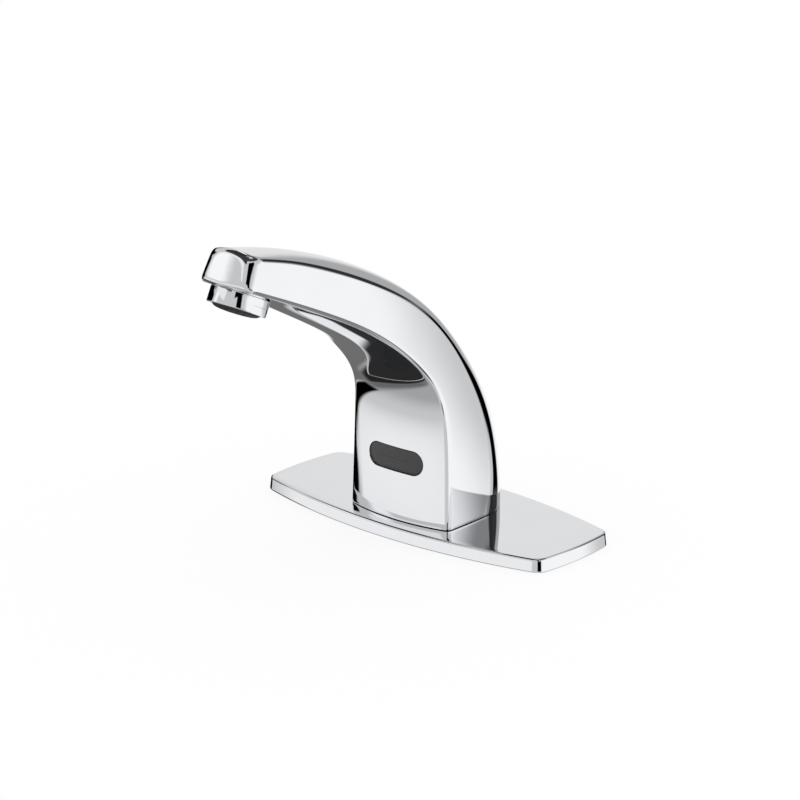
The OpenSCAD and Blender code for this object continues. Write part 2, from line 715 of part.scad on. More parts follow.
module inlet_filter() color("white") {
    r = inlet_r - shank_shoulder - socket_fit;
    basket_r = r - filter_wall;
    translate([0, 0, -shank_below]) difference() {
        union() {
            cylinder(h = filter_flange_h, r = r);
            cylinder(h = filter_h, r = basket_r);
        }
        translate([0, 0, -overrun])
            cylinder(h = filter_h + overrun - filter_wall, r = basket_r - filter_wall);
        for (i = [0 : filter_slots - 1]) rotate(360 * i / filter_slots)
            translate([0, -filter_slot_w / 2, 2 * filter_flange_h])
            cube([2 * r, filter_slot_w, filter_h - 4 * filter_flange_h]);
    }
}
module check_cage() color("white") {
    translate([0, 0, cage_z]) difference() {
        cylinder(h = cage_h, r = cage_r);
        translate([0, 0, -overrun]) cylinder(h = cage_seat_h + 2 * overrun, r = cage_seat_r);
        translate([0, 0, cage_seat_h]) cylinder(h = cage_h - cage_seat_h - cage_top_h, r = cage_room_r);
        translate([0, 0, cage_h - cage_top_h - overrun])
            cylinder(h = cage_top_h + 2 * overrun, r = stem_r + running_fit);
        for (i = [0 : cage_vents - 1]) rotate(360 * i / cage_vents)
            translate([cage_vent_ring_r, 0, cage_h - cage_top_h - overrun])
            cylinder(h = cage_top_h + 2 * overrun, r = cage_vent_r);
        pipe(groove_h, cage_r + overrun, cage_r - groove_depth, (cage_seat_h - groove_h) / 2);
    }
}
module check_o_ring() color("black") {
    translate([0, 0, cage_z + cage_seat_h / 2]) o_ring(cage_r - ring_section_r, ring_section_r);
}
module check_poppet() color("white") {
    translate([0, 0, poppet_z]) {
        cylinder(h = poppet_h, r = poppet_r);
        cylinder(h = cage_top - poppet_z + stem_stand, r = stem_r);
    }
}
module check_spring() color("gray") {
    low = poppet_z + poppet_h;
    pipe(cage_top - cage_top_h - low, stem_r + 2 * check_spring_wall, stem_r + check_spring_wall, low);
}

module valve_body() color("goldenrod") {
    difference() {
        union() {
            at_valve(valve_z) rounded_block(valve_w, valve_h, valve_corner_r);
            translate([0, 0, valve_z - spigot_h]) cylinder(h = spigot_h + overrun, r = inlet_r - socket_fit);
            for (s = [-1, 1]) translate([s * valve_foot_x, valve_foot_y, insert_top])
                cylinder(h = shank_flange_h + overrun, r = valve_foot_r);
        }
        translate([0, 0, valve_z - spigot_h - overrun])
            cylinder(h = spigot_h + overrun + spigot_bore_up, r = spigot_bore_r);
        translate([0, valve_y - passage_front, valve_z + overrun])
            cylinder(h = chamber_floor_up, r = passage_r);
        at_valve(valve_z + chamber_floor_up) pipe(valve_h, chamber_r, seat_r);
        at_valve(elbow_z) cylinder(h = valve_h, r = seat_bore_r);
        at_valve(elbow_z) rotate([0, 90, 0]) cylinder(h = valve_w, r = seat_bore_r);
        translate([valve_w / 2 - port_depth, valve_y, elbow_z]) rotate([0, 90, 0])
            cylinder(h = port_depth + overrun, r = port_r + socket_fit);
        at_valve(valve_top - valve_screw_grip)
            for (x = [-1, 1], y = [-1, 1]) translate([x, y] * valve_screw_place)
                cylinder(h = valve_screw_grip + overrun, r = small_screw_r + socket_fit);
        for (s = [-1, 1]) translate([s * valve_foot_x, valve_foot_y, insert_top - overrun])
            cylinder(h = base_screw_grip + overrun, r = small_screw_r + socket_fit);
        pipe(groove_h, inlet_r + overrun, inlet_r - socket_fit - groove_depth,
             valve_z - spigot_h / 2 - groove_h / 2);
    }
}
module inlet_o_ring() color("black") {
    translate([0, 0, valve_z - spigot_h / 2]) o_ring(inlet_r - socket_fit - ring_section_r, ring_section_r);
}
module valve_mount_screws() color("gainsboro") {
    for (s = [-1, 1]) translate([s * valve_foot_x, valve_foot_y, insert_z + small_head_h])
        screw_up(small_screw_r, insert_t - small_head_h + base_screw_grip - overrun, small_head_r,
                 small_head_h);
}
module diaphragm() color("black") {
    at_valve(valve_top) pipe(diaphragm_t, diaphragm_r, core_r + gap);
}
module seat_washer() color("black") {
    at_valve(valve_top + rest_gap) pipe(washer_t, core_r, pilot_r);
}
module diaphragm_core() color("white") {
    at_valve(valve_top + rest_gap + washer_t) pipe(core_h, core_r, pilot_r);
}
module valve_bonnet() color("darkslategray") {
    at_valve(bonnet_z) difference() {
        rounded_block(valve_w, bonnet_h, valve_corner_r);
        translate([0, 0, -overrun]) cylinder(h = bonnet_room_h + overrun, r = bonnet_room_r);
        cylinder(h = bonnet_room_h + tube_flange_h, r = tube_flange_r + socket_fit);
        cylinder(h = bonnet_h + overrun, r = armature_r + socket_fit);
        for (x = [-1, 1], y = [-1, 1]) translate([x * valve_screw_place, y * valve_screw_place, -overrun])
            cylinder(h = bonnet_h + 2 * overrun, r = small_screw_r + socket_fit);
    }
}
module valve_screws() color("gainsboro") {
    grip = bonnet_h + diaphragm_t + valve_screw_grip - gap;
    at_valve(bonnet_top) for (x = [-1, 1], y = [-1, 1]) translate([x, y] * valve_screw_place)
        rotate([180, 0, 0]) screw_up(small_screw_r, grip, small_head_r, small_head_h);
}
module armature_tube() color("gainsboro") {
    z = bonnet_z + bonnet_room_h;
    at_valve(z) difference() {
        union() {
            cylinder(h = tube_flange_h, r = tube_flange_r);
            cylinder(h = armature_top - z, r = armature_r);
        }
        translate([0, 0, -overrun]) cylinder(h = armature_top - z + 2 * overrun, r = plunger_r + running_fit);
    }
}
module plunger() color("lightsteelblue") {
    at_valve(plunger_z) difference() {
        cylinder(h = plunger_h, r = plunger_r);
        translate([0, 0, plunger_h - spring_pocket_h])
            cylinder(h = spring_pocket_h + overrun, r = spring_r + gap);
    }
}
module plunger_seal() color("black") {
    at_valve(seal_z) cylinder(h = seal_h, r = seal_r);
}
module plunger_spring() color("gray") {
    at_valve(0) pipe(stop_z - plunger_top + spring_pocket_h, spring_r, spring_r - spring_wall,
                     plunger_top - spring_pocket_h);
}
module fixed_core() color("lightsteelblue") {
    at_valve(stop_z) {
        cylinder(h = armature_top - stop_z, r = plunger_r);
        cylinder(h = yoke_top + stud_h - stop_z, r = stud_r);
    }
}
module coil_bobbin() color("darkslategray") {
    inner_r = armature_r + gap;
    at_valve(coil_z) difference() {
        union() {
            cylinder(h = coil_h, r = inner_r + bobbin_wall);
            for (z = [0, coil_h - cheek_t]) translate([0, 0, z]) cylinder(h = cheek_t, r = coil_r);
            translate([-terminal_w / 2, -coil_r - terminal_depth, coil_h - terminal_h])
                cube([terminal_w, coil_r - armature_r + terminal_depth, cheek_t]);
            translate([-terminal_w / 2, -coil_r - terminal_depth, coil_h - terminal_h])
                cube([terminal_w, terminal_depth, terminal_h]);
        }
        translate([0, 0, -overrun]) cylinder(h = coil_h + 2 * overrun, r = inner_r);
    }
}
module coil_winding() color("peru") {
    inner_r = armature_r + gap + bobbin_wall;
    at_valve(coil_z + cheek_t) pipe(coil_h - terminal_h - cheek_t, coil_r - gap, inner_r + socket_fit);
}
module coil_yoke() color("gray") {
    x0 = -coil_r - gap - yoke_t;
    at_valve(bonnet_top) difference() {
        union() {
            for (z = [0, coil_h + yoke_t]) translate([x0, -yoke_w / 2, z])
                cube([coil_r - x0, yoke_w, yoke_t]);
            translate([x0, -yoke_w / 2, 0]) cube([yoke_t, yoke_w, coil_h + 2 * yoke_t]);
        }
        translate([0, 0, -overrun])
            cylinder(h = coil_h + 2 * yoke_t + 2 * overrun, r = armature_r + socket_fit);
    }
}
module coil_nut() color("gainsboro") {
    at_valve(yoke_top) hex_nut(coil_nut_h, coil_nut_flats, stud_r + socket_fit);
}

module outlet_elbow() color("goldenrod") {
    difference() {
        union() {
            translate([valve_w / 2 - port_depth, valve_y, elbow_z]) rotate([0, 90, 0])
                cylinder(h = port_depth + elbow_r, r = port_r);
            translate([elbow_x, valve_y, elbow_z - elbow_below])
                cylinder(h = elbow_below + elbow_up, r = elbow_r);
        }
        translate([valve_w / 2 - port_depth - overrun, valve_y, elbow_z]) rotate([0, 90, 0])
            cylinder(h = port_depth + overrun + elbow_r, r = seat_bore_r);
        translate([elbow_x, valve_y, elbow_z - seat_bore_r])
            cylinder(h = elbow_up + seat_bore_r, r = seat_bore_r);
        translate([elbow_x, valve_y, elbow_z + tube_socket_h]) cylinder(h = elbow_up, r = tube_r + socket_fit);
    }
}
module outlet_tube() color("chocolate") {
    difference() {
        swept_rod(tube_route, tube_r, tube_sides, tube_steps);
        swept_rod(concat([2 * tube_route[0] - tube_route[1]], tube_route,
                         [2 * tube_route[len(tube_route) - 1] - nose_bore_point(tube_tail)]),
                  tube_r - tube_wall, tube_sides, tube_steps);
    }
}
module tube_o_rings() color("black") {
    along_nose_bore(tube_ring_at + ring_section_r)
        o_ring(tube_r + socket_fit + ring_section_r, ring_section_r);
}

module sensor_lens() color("dimgray") {
    front_y = face_y + lens_recess;
    translate([0, 0, window_z]) {
        intersection() {
            translate([0, face_y, 0])
                pill(window_w - 2 * lens_fit, window_h - 2 * lens_fit,
                     lens_depth + lens_gasket_t + socket_fit);
            translate([0, front_y + face_bow_r, -window_h])
                cylinder(h = 2 * window_h, r = face_bow_r, $fn = 128);
        }
        translate([0, lens_back_y - lens_flange_t, 0])
            pill(window_w + 2 * lens_flange, window_h + 2 * lens_flange, lens_flange_t);
    }
}
module lens_gasket() color("black") {
    translate([0, seat_y, window_z]) difference() {
        pill(window_w + 2 * lens_flange, window_h + 2 * lens_flange, lens_gasket_t);
        translate([0, -overrun, 0]) pill(window_w, window_h, lens_gasket_t + 2 * overrun);
    }
}
module sensor_case() color("black") {
    translate([0, case_y, window_z]) difference() {
        union() {
            translate([-case_w / 2, 0, -case_h / 2]) cube([case_w, case_depth - cover_t, case_h]);
            for (s = [-1, 1]) translate([-ear_w / 2, 0, s > 0 ? case_h / 2 : -case_h / 2 - ear_h])
                cube([ear_w, ear_t, ear_h]);
        }
        translate([-case_w / 2 + case_wall, case_wall, -case_h / 2 + case_wall])
            cube([case_w - 2 * case_wall, case_depth, case_h - 2 * case_wall]);
        for (x = [-diode_x, diode_x]) translate([x, -overrun, 0]) rotate([-90, 0, 0])
            cylinder(h = case_wall + 2 * overrun, r = diode_r + socket_fit);
        translate([0, -overrun, 0]) rotate([-90, 0, 0])
            cylinder(h = case_wall + 2 * overrun, r = led_r + socket_fit);
        for (s = [-1, 1]) translate([0, -overrun, s * (case_h / 2 + ear_out)]) rotate([-90, 0, 0])
            cylinder(h = ear_t + 2 * overrun, r = small_screw_r + socket_fit);
    }
}
module sensor_cover() color("black") {
    translate([-case_w / 2, cover_y, window_z - case_h / 2]) cube([case_w, cover_t, case_h]);
    translate([-case_w / 2 + case_wall + gap, board_y + board_t, window_z - case_h / 2 + case_wall + gap])
        difference() {
            cube([case_w - 2 * (case_wall + gap), board_gap, case_h - 2 * (case_wall + gap)]);
            translate([case_wall, -overrun, case_wall])
                cube([case_w - 4 * case_wall - 2 * gap, board_gap + overrun,
                      case_h - 4 * case_wall - 2 * gap]);
        }
}
module sensor_board() color("green") {
    w = case_w - 2 * (case_wall + gap);
    h = case_h - 2 * (case_wall + gap);
    translate([-w / 2, board_y, window_z - h / 2]) cube([w, board_t, h]);
    translate([diode_x / 3, board_y - board_t, window_z + h / 4]) cube([h / 4, board_t, h / 5]);
}
// A round diode standing on the board and looking forward
module diode(r, x) {
    tip_y = case_y + gap;
    translate([x, board_y, window_z]) rotate([90, 0, 0]) {
        cylinder(h = diode_flange_h, r = r + diode_flange);
        cylinder(h = board_y - tip_y - r / 2, r = r);
        intersection() {
            translate([0, 0, board_y - tip_y - r]) sphere(r = r, $fn = 48);
            cylinder(h = board_y - tip_y, r = r);
        }
    }
}
module ir_emitter() color("steelblue") {
    diode(diode_r, -diode_x);
}
module ir_receiver() color("black") {
    diode(diode_r, diode_x);
}
module status_led() color("red") {
    diode(led_r, 0);
}
module sensor_screws() color("gainsboro") {
    for (s = [-1, 1]) translate([0, sensor_screw_y, window_z + s * (case_h / 2 + ear_out)])
        rotate([90, 0, 0])
            screw_up(small_screw_r, ear_t + sensor_screw_grip - gap, small_head_r, small_head_h);
}
// The cable from the sensor case to the grommet, where the control unit's cable would carry on
module sensor_cable() color("dimgray") {
    start = [cable_x, case_y + case_depth / 2, window_z - case_h / 2 - socket_fit];
    finish = [grommet_x, 0, insert_z];
    top = [grommet_x, 0, insert_top + grommet_lip_h];
    path = [start, start - [0, 0, cable_drop],
            start * 0.45 + top * 0.55 + [0, 0, cable_drop / 2], top + [0, 0, cable_rise / 2], top,
            (top + finish) / 2, finish];
    swept_rod(path, cable_r, 12, 4);
}
module coil_lead() color("dimgray") {
    start = [lead_x, case_y + case_depth / 2 - cover_t, window_z + case_h / 2 + socket_fit];
    finish = [0, valve_y - coil_r - terminal_depth - socket_fit, coil_top - terminal_h / 2];
    path = [start, start + [0, 0, lead_rise],
            start * 0.6 + finish * 0.4 + [0, -lead_r, lead_rise / 2], finish - [0, lead_drop, 0], finish];
    swept_rod(path, lead_r, 8, 4);
}

module aerator_housing() color("silver") {
    at_nose() difference() {
        translate([0, 0, -housing_gap - aerator_len]) cylinder(h = aerator_len, r = aerator_r);
        translate([0, 0, -housing_gap - aerator_len + housing_lip_h])
            cylinder(h = aerator_len, r = nipple_r + socket_fit);
        translate([0, 0, -housing_gap - aerator_len - overrun])
            cylinder(h = aerator_len, r = housing_lip_r);
        for (s = [-1, 1]) translate([s * (aerator_r - flat_depth + overrun), 0,
                                     -housing_gap - aerator_len - overrun + (flat_h + overrun) / 2])
            cube([2 * overrun, 2 * aerator_r, flat_h + overrun], center = true);
    }
}
housing_floor = -housing_gap - aerator_len + housing_lip_h;
module aerator_gasket() color("black") {
    low = housing_floor + insert_flange_h;
    at_nose() pipe(-nipple_h - low, nipple_r - gap, chamber_bore_r - gap / 2, low);
}
// Places of a six-sided pattern of holes, without those past open_r
function honeycomb(pitch, rings, open_r) =
    [for (i = [-rings : rings], j = [-rings : rings])
        let (p = [pitch * (i + j / 2), pitch * j * sin(60)]) if (norm(p) <= open_r) p];
module aerator_insert() color("gray") {
    at_nose() difference() {
        union() {
            translate([0, 0, housing_floor - housing_lip_h])
                cylinder(h = housing_lip_h + insert_flange_h, r = insert_nose_r);
            translate([0, 0, housing_floor - housing_lip_h - insert_nose_out])
                cylinder(h = insert_nose_out, r1 = insert_nose_r - insert_nose_out, r2 = insert_nose_r);
            translate([0, 0, housing_floor]) {
                cylinder(h = insert_flange_h, r = nipple_r - gap);
                cylinder(h = insert_body_up - housing_floor - nipple_h, r = insert_body_r);
            }
        }
        for (p = honeycomb(jet_pitch, jet_rings, jet_open_r))
            translate([p.x, p.y, housing_floor - housing_lip_h - insert_nose_out - overrun])
            cylinder(h = insert_body_up - housing_floor + 2 * overrun, r = jet_r, $fn = 16);
    }
}
module aerator_screen() color("gainsboro") {
    at_nose() translate([0, 0, insert_body_up - nipple_h]) difference() {
        cylinder(h = screen_t, r = insert_body_r);
        for (p = honeycomb(screen_pitch, screen_rings, jet_open_r))
            translate([p.x, p.y, -overrun]) cylinder(h = screen_t + 2 * overrun, r = screen_hole_r, $fn = 16);
    }
}

spout_body();
cover_plate();
deck_gasket();
foot_gasket();
base_insert();
base_screws();
locating_pins();
cable_grommet();
inlet_shank();
rubber_washer();
steel_washer();
lock_nut();
inlet_filter();
check_cage();
check_o_ring();
check_poppet();
check_spring();
valve_body();
inlet_o_ring();
valve_mount_screws();
diaphragm();
seat_washer();
diaphragm_core();
valve_bonnet();
valve_screws();
armature_tube();
plunger();
plunger_seal();
plunger_spring();
fixed_core();
coil_bobbin();
coil_winding();
coil_yoke();
coil_nut();
outlet_elbow();
outlet_tube();
tube_o_rings();
sensor_lens();
lens_gasket();
sensor_case();
sensor_cover();
sensor_board();
ir_emitter();
ir_receiver();
status_led();
sensor_screws();
sensor_cable();
coil_lead();
aerator_housing();
aerator_gasket();
aerator_insert();
aerator_screen();
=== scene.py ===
"""Looks of the chrome sensor tap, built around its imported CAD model.

Every piece is in metres in the CAD model's frame: +Z up, the spout reaching towards -Y. The sizes
that the classes hold are in millimetres and degrees where nothing else is said.
"""

import logging
import math
from dataclasses import dataclass
from enum import Enum
from typing import Callable, Sequence

import bmesh
import bpy
from mathutils import Matrix, Vector


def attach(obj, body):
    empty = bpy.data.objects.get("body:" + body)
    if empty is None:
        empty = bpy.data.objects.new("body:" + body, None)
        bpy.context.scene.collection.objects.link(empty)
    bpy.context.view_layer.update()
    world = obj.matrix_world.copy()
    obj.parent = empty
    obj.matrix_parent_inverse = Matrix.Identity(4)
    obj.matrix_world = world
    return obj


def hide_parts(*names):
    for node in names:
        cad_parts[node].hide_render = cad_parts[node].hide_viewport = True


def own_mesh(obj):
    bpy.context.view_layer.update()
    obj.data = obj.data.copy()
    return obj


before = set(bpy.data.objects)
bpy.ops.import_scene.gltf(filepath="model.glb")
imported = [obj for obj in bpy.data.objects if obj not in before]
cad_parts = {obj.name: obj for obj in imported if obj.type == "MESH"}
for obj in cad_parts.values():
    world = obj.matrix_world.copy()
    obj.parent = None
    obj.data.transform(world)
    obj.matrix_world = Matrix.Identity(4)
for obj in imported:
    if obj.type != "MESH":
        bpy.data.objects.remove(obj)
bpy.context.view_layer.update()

LOG = logging.getLogger("sensor_tap")
MM = 0.001
SAME_POINT = 0.001 * MM
WHITE = (1.0, 1.0, 1.0, 1.0)
HALF_TURN = 180.0

Pair = tuple[float, float]
Draft = bmesh.types.BMesh
Loop = list[bmesh.types.BMVert]
Piece = bpy.types.Object
Tree = bpy.types.NodeTree
Socket = bpy.types.NodeSocket


# Numbers and curves


def linear(hex_colour: str) -> tuple[float, float, float, float]:
    """Turns an sRGB hex colour into the linear one that shaders take.

    Args:
        hex_colour: Six hexadecimal digits.

    Returns:
        Red, green, blue and an alpha of one.
    """
    parts = [int(hex_colour[i : i + 2], 16) / 255 for i in (0, 2, 4)]
    lin = [c / 12.92 if c <= 0.04045 else ((c + 0.055) / 1.055) ** 2.4 for c in parts]
    return (lin[0], lin[1], lin[2], 1.0)


def fair_curve(values: Sequence[float]) -> Callable[[float], float]:
    """Makes the natural cubic curve through evenly spaced values.

    Args:
        values: What the curve passes through at 0, 1, 2 and so on.

    Returns:
        A function of the place along the curve.
    """
    n = len(values)
    lean, drive = [0.0] * n, [0.0] * n
    for i in range(1, n - 1):
        rest = 4.0 - lean[i - 1]
        lean[i] = 1.0 / rest
        drive[i] = (6.0 * (values[i - 1] - 2.0 * values[i] + values[i + 1]) - drive[i - 1]) / rest
    bend = [0.0] * n
    for i in range(n - 2, 0, -1):
        bend[i] = drive[i] - lean[i] * bend[i + 1]

    def at(t: float) -> float:
        """Gives the curve's value.

        Args:
            t: The place along the curve.

        Returns:
            The value there.
        """
        i = max(0, min(int(t), n - 2))
        u = t - i
        w = 1.0 - u
        bulge = ((w**3 - w) * bend[i] + (u**3 - u) * bend[i + 1]) / 6.0
        return w * values[i] + u * values[i + 1] + bulge

    return at


def arc_radius(half_width: float, rise: float) -> float:
    """Gives the radius of a shallow arc from half of its chord and its rise."""
    return (half_width**2 + rise**2) / (2.0 * rise)


def arc_point(half_width: float, rise: float, share: float) -> Pair:
    """Gives a point on a shallow arc.

    Args:
        half_width: Half of the arc's chord.
        rise: Height of the arc over its chord.
        share: 0 at the arc's top, 1 at its right end.

    Returns:
        The distance from the middle and the height over the chord.
    """
    radius = arc_radius(half_width, rise)
    angle = 2.0 * math.atan2(rise, half_width) * share
    return radius * math.sin(angle), radius * math.cos(angle) - radius + rise


def arc_length(half_width: float, rise: float) -> float:
    """Gives the length of half of a shallow arc."""
    return arc_radius(half_width, rise) * 2.0 * math.atan2(rise, half_width)


def drawn_in(radius: float, behind: float) -> float:
    """Gives how far a rounded end is drawn in at a distance behind its face."""
    return radius - math.sqrt(radius**2 - (radius - behind) ** 2) if behind < radius else 0.0


def on_circle(radius: float, angle: float, x: float = 0.0, y: float = 0.0) -> Vector:
    """Gives the point of a circle round x and y at an angle, in radians from +X."""
    return Vector((x + radius * math.cos(angle), y + radius * math.sin(angle)))


def quarter_turn(steps: int) -> list[float]:
    """Gives the angles of a quarter turn in even steps, in radians."""
    return [math.pi / 2 * i / steps for i in range(steps + 1)]


def rounded(start: Pair, corner: Pair, end: Pair, steps: int) -> list[Pair]:
    """Rounds a corner with a conic that is close to a circle's arc.

    Args:
        start: Where the rounding begins.
        corner: The sharp corner.
        end: Where the rounding ends.
        steps: Number of segments.

    Returns:
        The points from start to end, both included.
    """
    a, c, b = Vector(start), Vector(corner), Vector(end)
    turn = (c - a).angle(b - c)
    pull = math.cos(turn / 2.0)
    points = []
    for i in range(steps + 1):
        u = i / steps
        w0, w1, w2 = (1 - u) ** 2, 2 * u * (1 - u) * pull, u**2
        p = (a * w0 + c * w1 + b * w2) / (w0 + w1 + w2)
        points.append((p.x, p.y))
    return points


# Meshes


def ring_edges(loop: Loop) -> list[bmesh.types.BMEdge]:
    """Finds the edges between the neighbours of a closed loop of vertices.

    Args:
        loop: The vertices, in order.

    Returns:
        The edges, in the same order.
    """
    found = []
    for i, vert in enumerate(loop):
        other = loop[(i + 1) % len(loop)]
        found.append(next(e for e in vert.link_edges if e.other_vert(vert) is other))
    return found


def loft(bm: Draft, rings: Sequence[Sequence[Vector]], capped: bool = False) -> list[Loop]:
    """Draws a skin through rings by extruding each ring to the next one.

    Args:
        bm: The mesh that the skin is added to.
        rings: Closed rings with the same number of points, in metres.
        capped: Whether a face closes each of the two ends.

    Returns:
        The vertices of each ring, in the order of its points.
    """
    made = bmesh.ops.create_circle(bm, segments=len(rings[0]), radius=1.0)["verts"]
    loops = [list(made)]
    for vert, place in zip(loops[0], rings[0]):
        vert.co = place
    for ring in rings[1:]:
        grown = bmesh.ops.extrude_edge_only(bm, edges=ring_edges(loops[-1]))["geom"]
        fresh = {g for g in grown if isinstance(g, bmesh.types.BMVert)}
        loop = [
            next(e.other_vert(v) for e in v.link_edges if e.other_vert(v) in fresh)
            for v in loops[-1]
        ]
        for vert, place in zip(loop, ring):
            vert.co = place
        loops.append(loop)
    for end in (loops[0], loops[-1]) if capped else ():
        bmesh.ops.contextual_create(bm, geom=ring_edges(end))
    return loops


def spun(bm: Draft, outline: Sequence[Pair], steps: int) -> None:
    """Turns a closed outline of radius and height round the Z axis.

    Args:
        bm: The mesh that the turned shape is added to.
        outline: Radius and height of each corner, in millimetres.
        steps: Number of steps of the full turn.
    """
    verts = [bm.verts.new((r * MM, 0.0, z * MM)) for r, z in outline]
    edges = [bm.edges.new((a, b)) for a, b in zip(verts, verts[1:] + verts[:1])]
    turn = {"cent": (0, 0, 0), "axis": (0, 0, 1), "angle": math.tau, "steps": steps}
    bmesh.ops.spin(bm, geom=verts + edges, use_merge=True, **turn)
    bmesh.ops.remove_doubles(bm, verts=bm.verts, dist=SAME_POINT)


def eased(outline: Sequence[Pair], radii: Sequence[float], steps: int = 4) -> list[Pair]:
    """Rounds the corners of a closed outline.

    Args:
        outline: The corners.
        radii: The rounding at each corner; zero leaves it sharp.
        steps: Segments of each rounding.

    Returns:
        The outline's points.
    """
    points: list[Pair] = []
    n = len(outline)
    for i, corner in enumerate(outline):
        if radii[i] <= 0:
            points.append(corner)
            continue
        here = Vector(corner)
        back, ahead = Vector(outline[i - 1]) - here, Vector(outline[(i + 1) % n]) - here
        reach = radii[i] / math.tan(back.angle(ahead) / 2.0)
        a, b = here + back.normalized() * reach, here + ahead.normalized() * reach
        points += rounded((a.x, a.y), corner, (b.x, b.y), steps)
    return points


def finished(
    name: str, bm: Draft, material: bpy.types.Material, sharp_degrees: float = 40.0
) -> Piece:
    """Makes an object of a mesh, with outward faces and smooth shading.

    Args:
        name: The piece's name.
        bm: Its mesh, which is freed.
        material: Its material.
        sharp_degrees: Edges that turn by more than this stay crisp.

    Returns:
        The new object, at the origin.
    """
    bmesh.ops.recalc_face_normals(bm, faces=bm.faces)
    mesh = bpy.data.meshes.new(name)
    bm.to_mesh(mesh)
    bm.free()
    mesh.materials.append(material)
    mesh.shade_smooth()
    mesh.set_sharp_from_angle(angle=math.radians(sharp_degrees))
    piece = bpy.data.objects.new(name, mesh)
    bpy.context.scene.collection.objects.link(piece)
    return piece


def with_modifiers_applied(piece: Piece) -> None:
    """Replaces a piece's mesh with what its modifiers make of it.

    Args:
        piece: The piece, whose modifiers are removed.
    """
    graph = bpy.context.evaluated_depsgraph_get()
    made = bpy.data.meshes.new_from_object(piece.evaluated_get(graph), depsgraph=graph)
    piece.modifiers.clear()
    piece.data = made


def cut_away(piece: Piece, cutter: Piece) -> None:
    """Cuts one piece's space out of another, and deletes the cutter.

    Args:
        piece: What is cut.
        cutter: What cuts it.
    """
    cut = piece.modifiers.new("cut", "BOOLEAN")
    cut.operation, cut.solver, cut.object = "DIFFERENCE", "EXACT", cutter
    with_modifiers_applied(piece)
    bpy.data.objects.remove(cutter)


# Finishes


def add(
    tree: Tree, kind: str, inputs: dict | None = None, **settings: object
) -> bpy.types.Node:
    """Adds a node with its settings, values and links.

    Args:
        tree: The node tree.
        kind: The node's type name.
        inputs: Socket name or number to a value, or to the output socket that feeds it.
        settings: The node's own settings.

    Returns:
        The new node.
    """
    node = tree.nodes.new(kind)
    for key, value in settings.items():
        setattr(node, key, value)
    for key, value in (inputs or {}).items():
        if isinstance(value, Socket):
            tree.links.new(value, node.inputs[key])
        else:
            node.inputs[key].default_value = value
    return node


def maths(tree: Tree, operation: str, *values: Socket | float) -> Socket:
    """Adds a node that calculates with values or the sockets that feed them."""
    return add(tree, "ShaderNodeMath", dict(enumerate(values)), operation=operation).outputs[0]


class Pattern(Enum):
    """What breaks up a surface: its texture node, with that node's own inputs and settings."""

    CLOUD = ("ShaderNodeTexNoise", {"Detail": 2.0}, {})
    GRAIN = ("ShaderNodeTexNoise", {"Detail": 6.0}, {})
    DRAWN = ("ShaderNodeTexNoise", {"Detail": 4.0}, {})
    TRACKS = ("ShaderNodeTexBrick", {"Mortar Size": 0.06}, {"offset": 0.35})
    WOUND = ("ShaderNodeTexWave", {"Distortion": 0.2}, {"wave_profile": "SIN"})
    TURNED = ("ShaderNodeTexWave", {"Distortion": 1.0, "Detail": 3.0}, {"wave_profile": "SAW"})


# How much longer the lines along a draw are than they are wide, as a scale of Z.
DRAWN_SCALE = (1.0, 1.0, 0.06)
# How many bands a wave texture of scale 1 draws over one unit.
BANDS_PER_UNIT = 3.2
# A pattern's relief at a depth of 1, as a share of its size.
RELIEF = 0.05


@dataclass(frozen=True)
class Finish:
    """A surface as it comes from its process: base colour, gloss, and what breaks both up.

    size_mm is the pattern's size, and bands lie 2 pi times that apart. depth is how strongly the
    pattern stands out as relief, and vary how much it changes the roughness.
    """

    name: str
    colour: str
    dark: str
    metallic: float
    roughness: float
    pattern: Pattern
    size_mm: float
    depth: float
    vary: float = 0.05
    ior: float = 1.5
    coat: float = 0.0

    def field_of(self, tree: Tree) -> Socket:
        """Draws the finish's pattern in the piece's own space.

        Args:
            tree: The material's node tree.

        Returns:
            The socket with the pattern's value, 0 to 1.
        """
        space = add(tree, "ShaderNodeTexCoord").outputs["Object"]
        scale = 1.0 / (self.size_mm * MM)
        kind, inputs, settings = self.pattern.value
        if self.pattern is Pattern.DRAWN:
            stretched = add(tree, "ShaderNodeMapping", {"Vector": space, "Scale": DRAWN_SCALE})
            space = stretched.outputs[0]
        if kind == "ShaderNodeTexWave":
            scale = scale / math.tau / BANDS_PER_UNIT
            settings = {"wave_type": "BANDS", "bands_direction": "Z"} | settings
        inputs = {"Vector": space, "Scale": scale} | inputs
        return add(tree, kind, inputs, **settings).outputs["Fac"]

    def material(self) -> bpy.types.Material:
        """Builds the material, or finds it if it is already there.

        Returns:
            The material.
        """
        if self.name in bpy.data.materials:
            return bpy.data.materials[self.name]
        made = bpy.data.materials.new(self.name)
        made.use_nodes = True
        made.diffuse_color = linear(self.colour)
        tree = made.node_tree
        tree.nodes.clear()
        value = self.field_of(tree)
        both = {0: value, 6: linear(self.dark), 7: linear(self.colour)}
        colour = add(tree, "ShaderNodeMix", both, data_type="RGBA")
        least, most = max(0.0, self.roughness - self.vary), self.roughness + self.vary
        rough = add(tree, "ShaderNodeMapRange", {0: value, 3: least, 4: most})
        relief = {"Height": value, "Strength": self.depth, "Distance": RELIEF * self.size_mm * MM}
        bump = add(tree, "ShaderNodeBump", relief)
        looks = {
            "Base Color": colour.outputs[2],
            "Roughness": rough.outputs[0],
            "Metallic": self.metallic,
            "IOR": self.ior,
            "Coat Weight": self.coat,
            "Normal": bump.outputs[0],
        }
        shader = add(tree, "ShaderNodeBsdfPrincipled", looks)
        add(tree, "ShaderNodeOutputMaterial", {"Surface": shader.outputs[0]})
        return made


